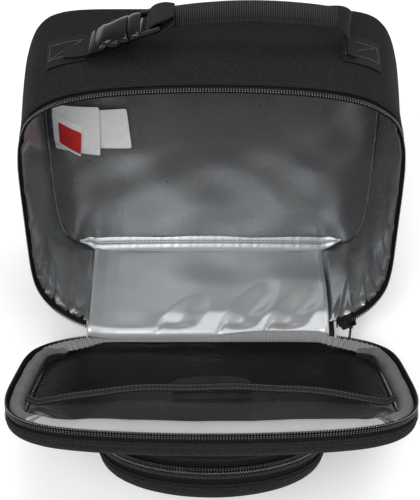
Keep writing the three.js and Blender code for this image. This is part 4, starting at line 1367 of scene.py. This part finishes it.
def build_right_strap():
    """It twists down from the grip's end into its patch."""
    right = [(70, 46.2, 239.0), (79, 46.4, 238.2), (85, 46.6, 235), (87.5, 47, 229),
             (86.5, 47.5, 222), (87, 48, 216.6), (93, 48, 214.0)]
    turn = [(0, 0.25, 1), (0, 0.35, 1), (0.25, 0.7, 0.7), (0.15, 1, 0.3), *[STRAP_ACROSS] * 3]
    strap = strip("strap_right", right, turn, [12, 14, 16, 19, 22, 23, 23], WEBBING, BAG, None,
                  "webbing", replaces=("handle_strap_right",))
    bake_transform(strap)


def close_ends(piece):
    """Fills the open ends of a tube."""
    bm = bmesh.new()
    bm.from_mesh(piece.data)
    bmesh.ops.holes_fill(bm, edges=bm.edges, sides=0)
    bmesh.ops.recalc_face_normals(bm, faces=bm.faces)
    bm.to_mesh(piece.data)
    bm.free()


PULL_BEVEL = 0.25


def build_hardware():
    rework("main_zip_slider", "main_slider_body", "main_slider")
    rework("main_zip_pull", "main_slider_pull", "main_pull", PULL_BEVEL)
    rework("pocket_zip_slider", "pocket_slider_body", "pocket_slider")
    rework("pocket_zip_pull", "pocket_slider_pull", "pocket_pull", PULL_BEVEL)
    for node in ("gusset_foam", "back_foam", "lid_foam", "pocket_foam"):
        pad = frame["nodes"][node]
        pad.data.materials.clear()
        pad.data.materials.append(FOAM)


# ---- Camera, floor and light --------------------------------------------------------------


def build_stage():
    camera = bpy.data.objects.new("camera", bpy.data.cameras.new("camera"))
    bpy.context.collection.objects.link(camera)
    elevation = math.radians(40.8)
    forward = BAG.to_3x3() @ Vector((0, math.cos(elevation), -math.sin(elevation)))
    camera.location = in_bag(0, -622.0, 641.6)
    camera.rotation_euler = forward.to_track_quat("-Z", "Y").to_euler()
    camera.data.lens = 87.8
    camera.data.sensor_width = 36
    camera.data.shift_x = -0.003
    camera.data.shift_y = -0.051
    camera.data.clip_start = 0.05
    camera.data.clip_end = 30
    bpy.context.scene.camera = camera

    mesh = bpy.data.meshes.new("floor")
    size = 6
    mesh.from_pydata([(-size, -size, 0), (size, -size, 0), (size, size, 0), (-size, size, 0)], [],
                     [(0, 1, 2, 3)])
    floor = bpy.data.objects.new("floor", mesh)
    look = Look("floor_paint", mapped=False)
    cloud = look.noise(3, detail=1)
    paint = look.ramp(cloud, [(0, grey(0.87)), (1, grey(0.9))])
    look.shader.inputs["Emission Color"].default_value = (1, 1, 1, 1)
    mesh.materials.append(look.finish(paint, 0.9, Emission_Strength=0.25))
    bpy.context.collection.objects.link(floor)

    world = bpy.data.worlds.new("studio")
    bpy.context.scene.world = world
    world.use_nodes = True
    world.node_tree.nodes["Background"].inputs["Color"].default_value = (1, 1, 1, 1)
    world.node_tree.nodes["Background"].inputs["Strength"].default_value = 0.34
    lamps = [("key", (-0.5, -0.9, 1.5), 0.9, 15), ("top", (0.15, 0.35, 1.6), 1.0, 11),
             ("fill", (1.0, -0.8, 0.8), 0.8, 5.5)]
    for name, place, size, power in lamps:
        data = bpy.data.lights.new(name, "AREA")
        data.size = size
        data.energy = power
        lamp = bpy.data.objects.new(name, data)
        lamp.location = place
        aim = Vector((0, 0, 0.1)) - lamp.location
        lamp.rotation_euler = aim.to_track_quat("-Z", "Y").to_euler()
        bpy.context.collection.objects.link(lamp)
    bpy.context.scene.view_settings.view_transform = "Standard"


build_stage()
build_outer_body()
build_main_zip()
build_liner_sides()
build_liner_floor()
build_liner_back()
build_seam_ridge()
build_labels()
build_lid_shell()
build_lid_border()
build_lid_liner()
build_mesh_net()
build_mesh_binding()
build_closure_strips()
build_hinge_binding()
build_hinge_cover()
build_round_pocket()
build_patches()
build_left_strap()
build_buckle()
build_strap_fold()
build_grip()
build_right_strap()
build_hardware()
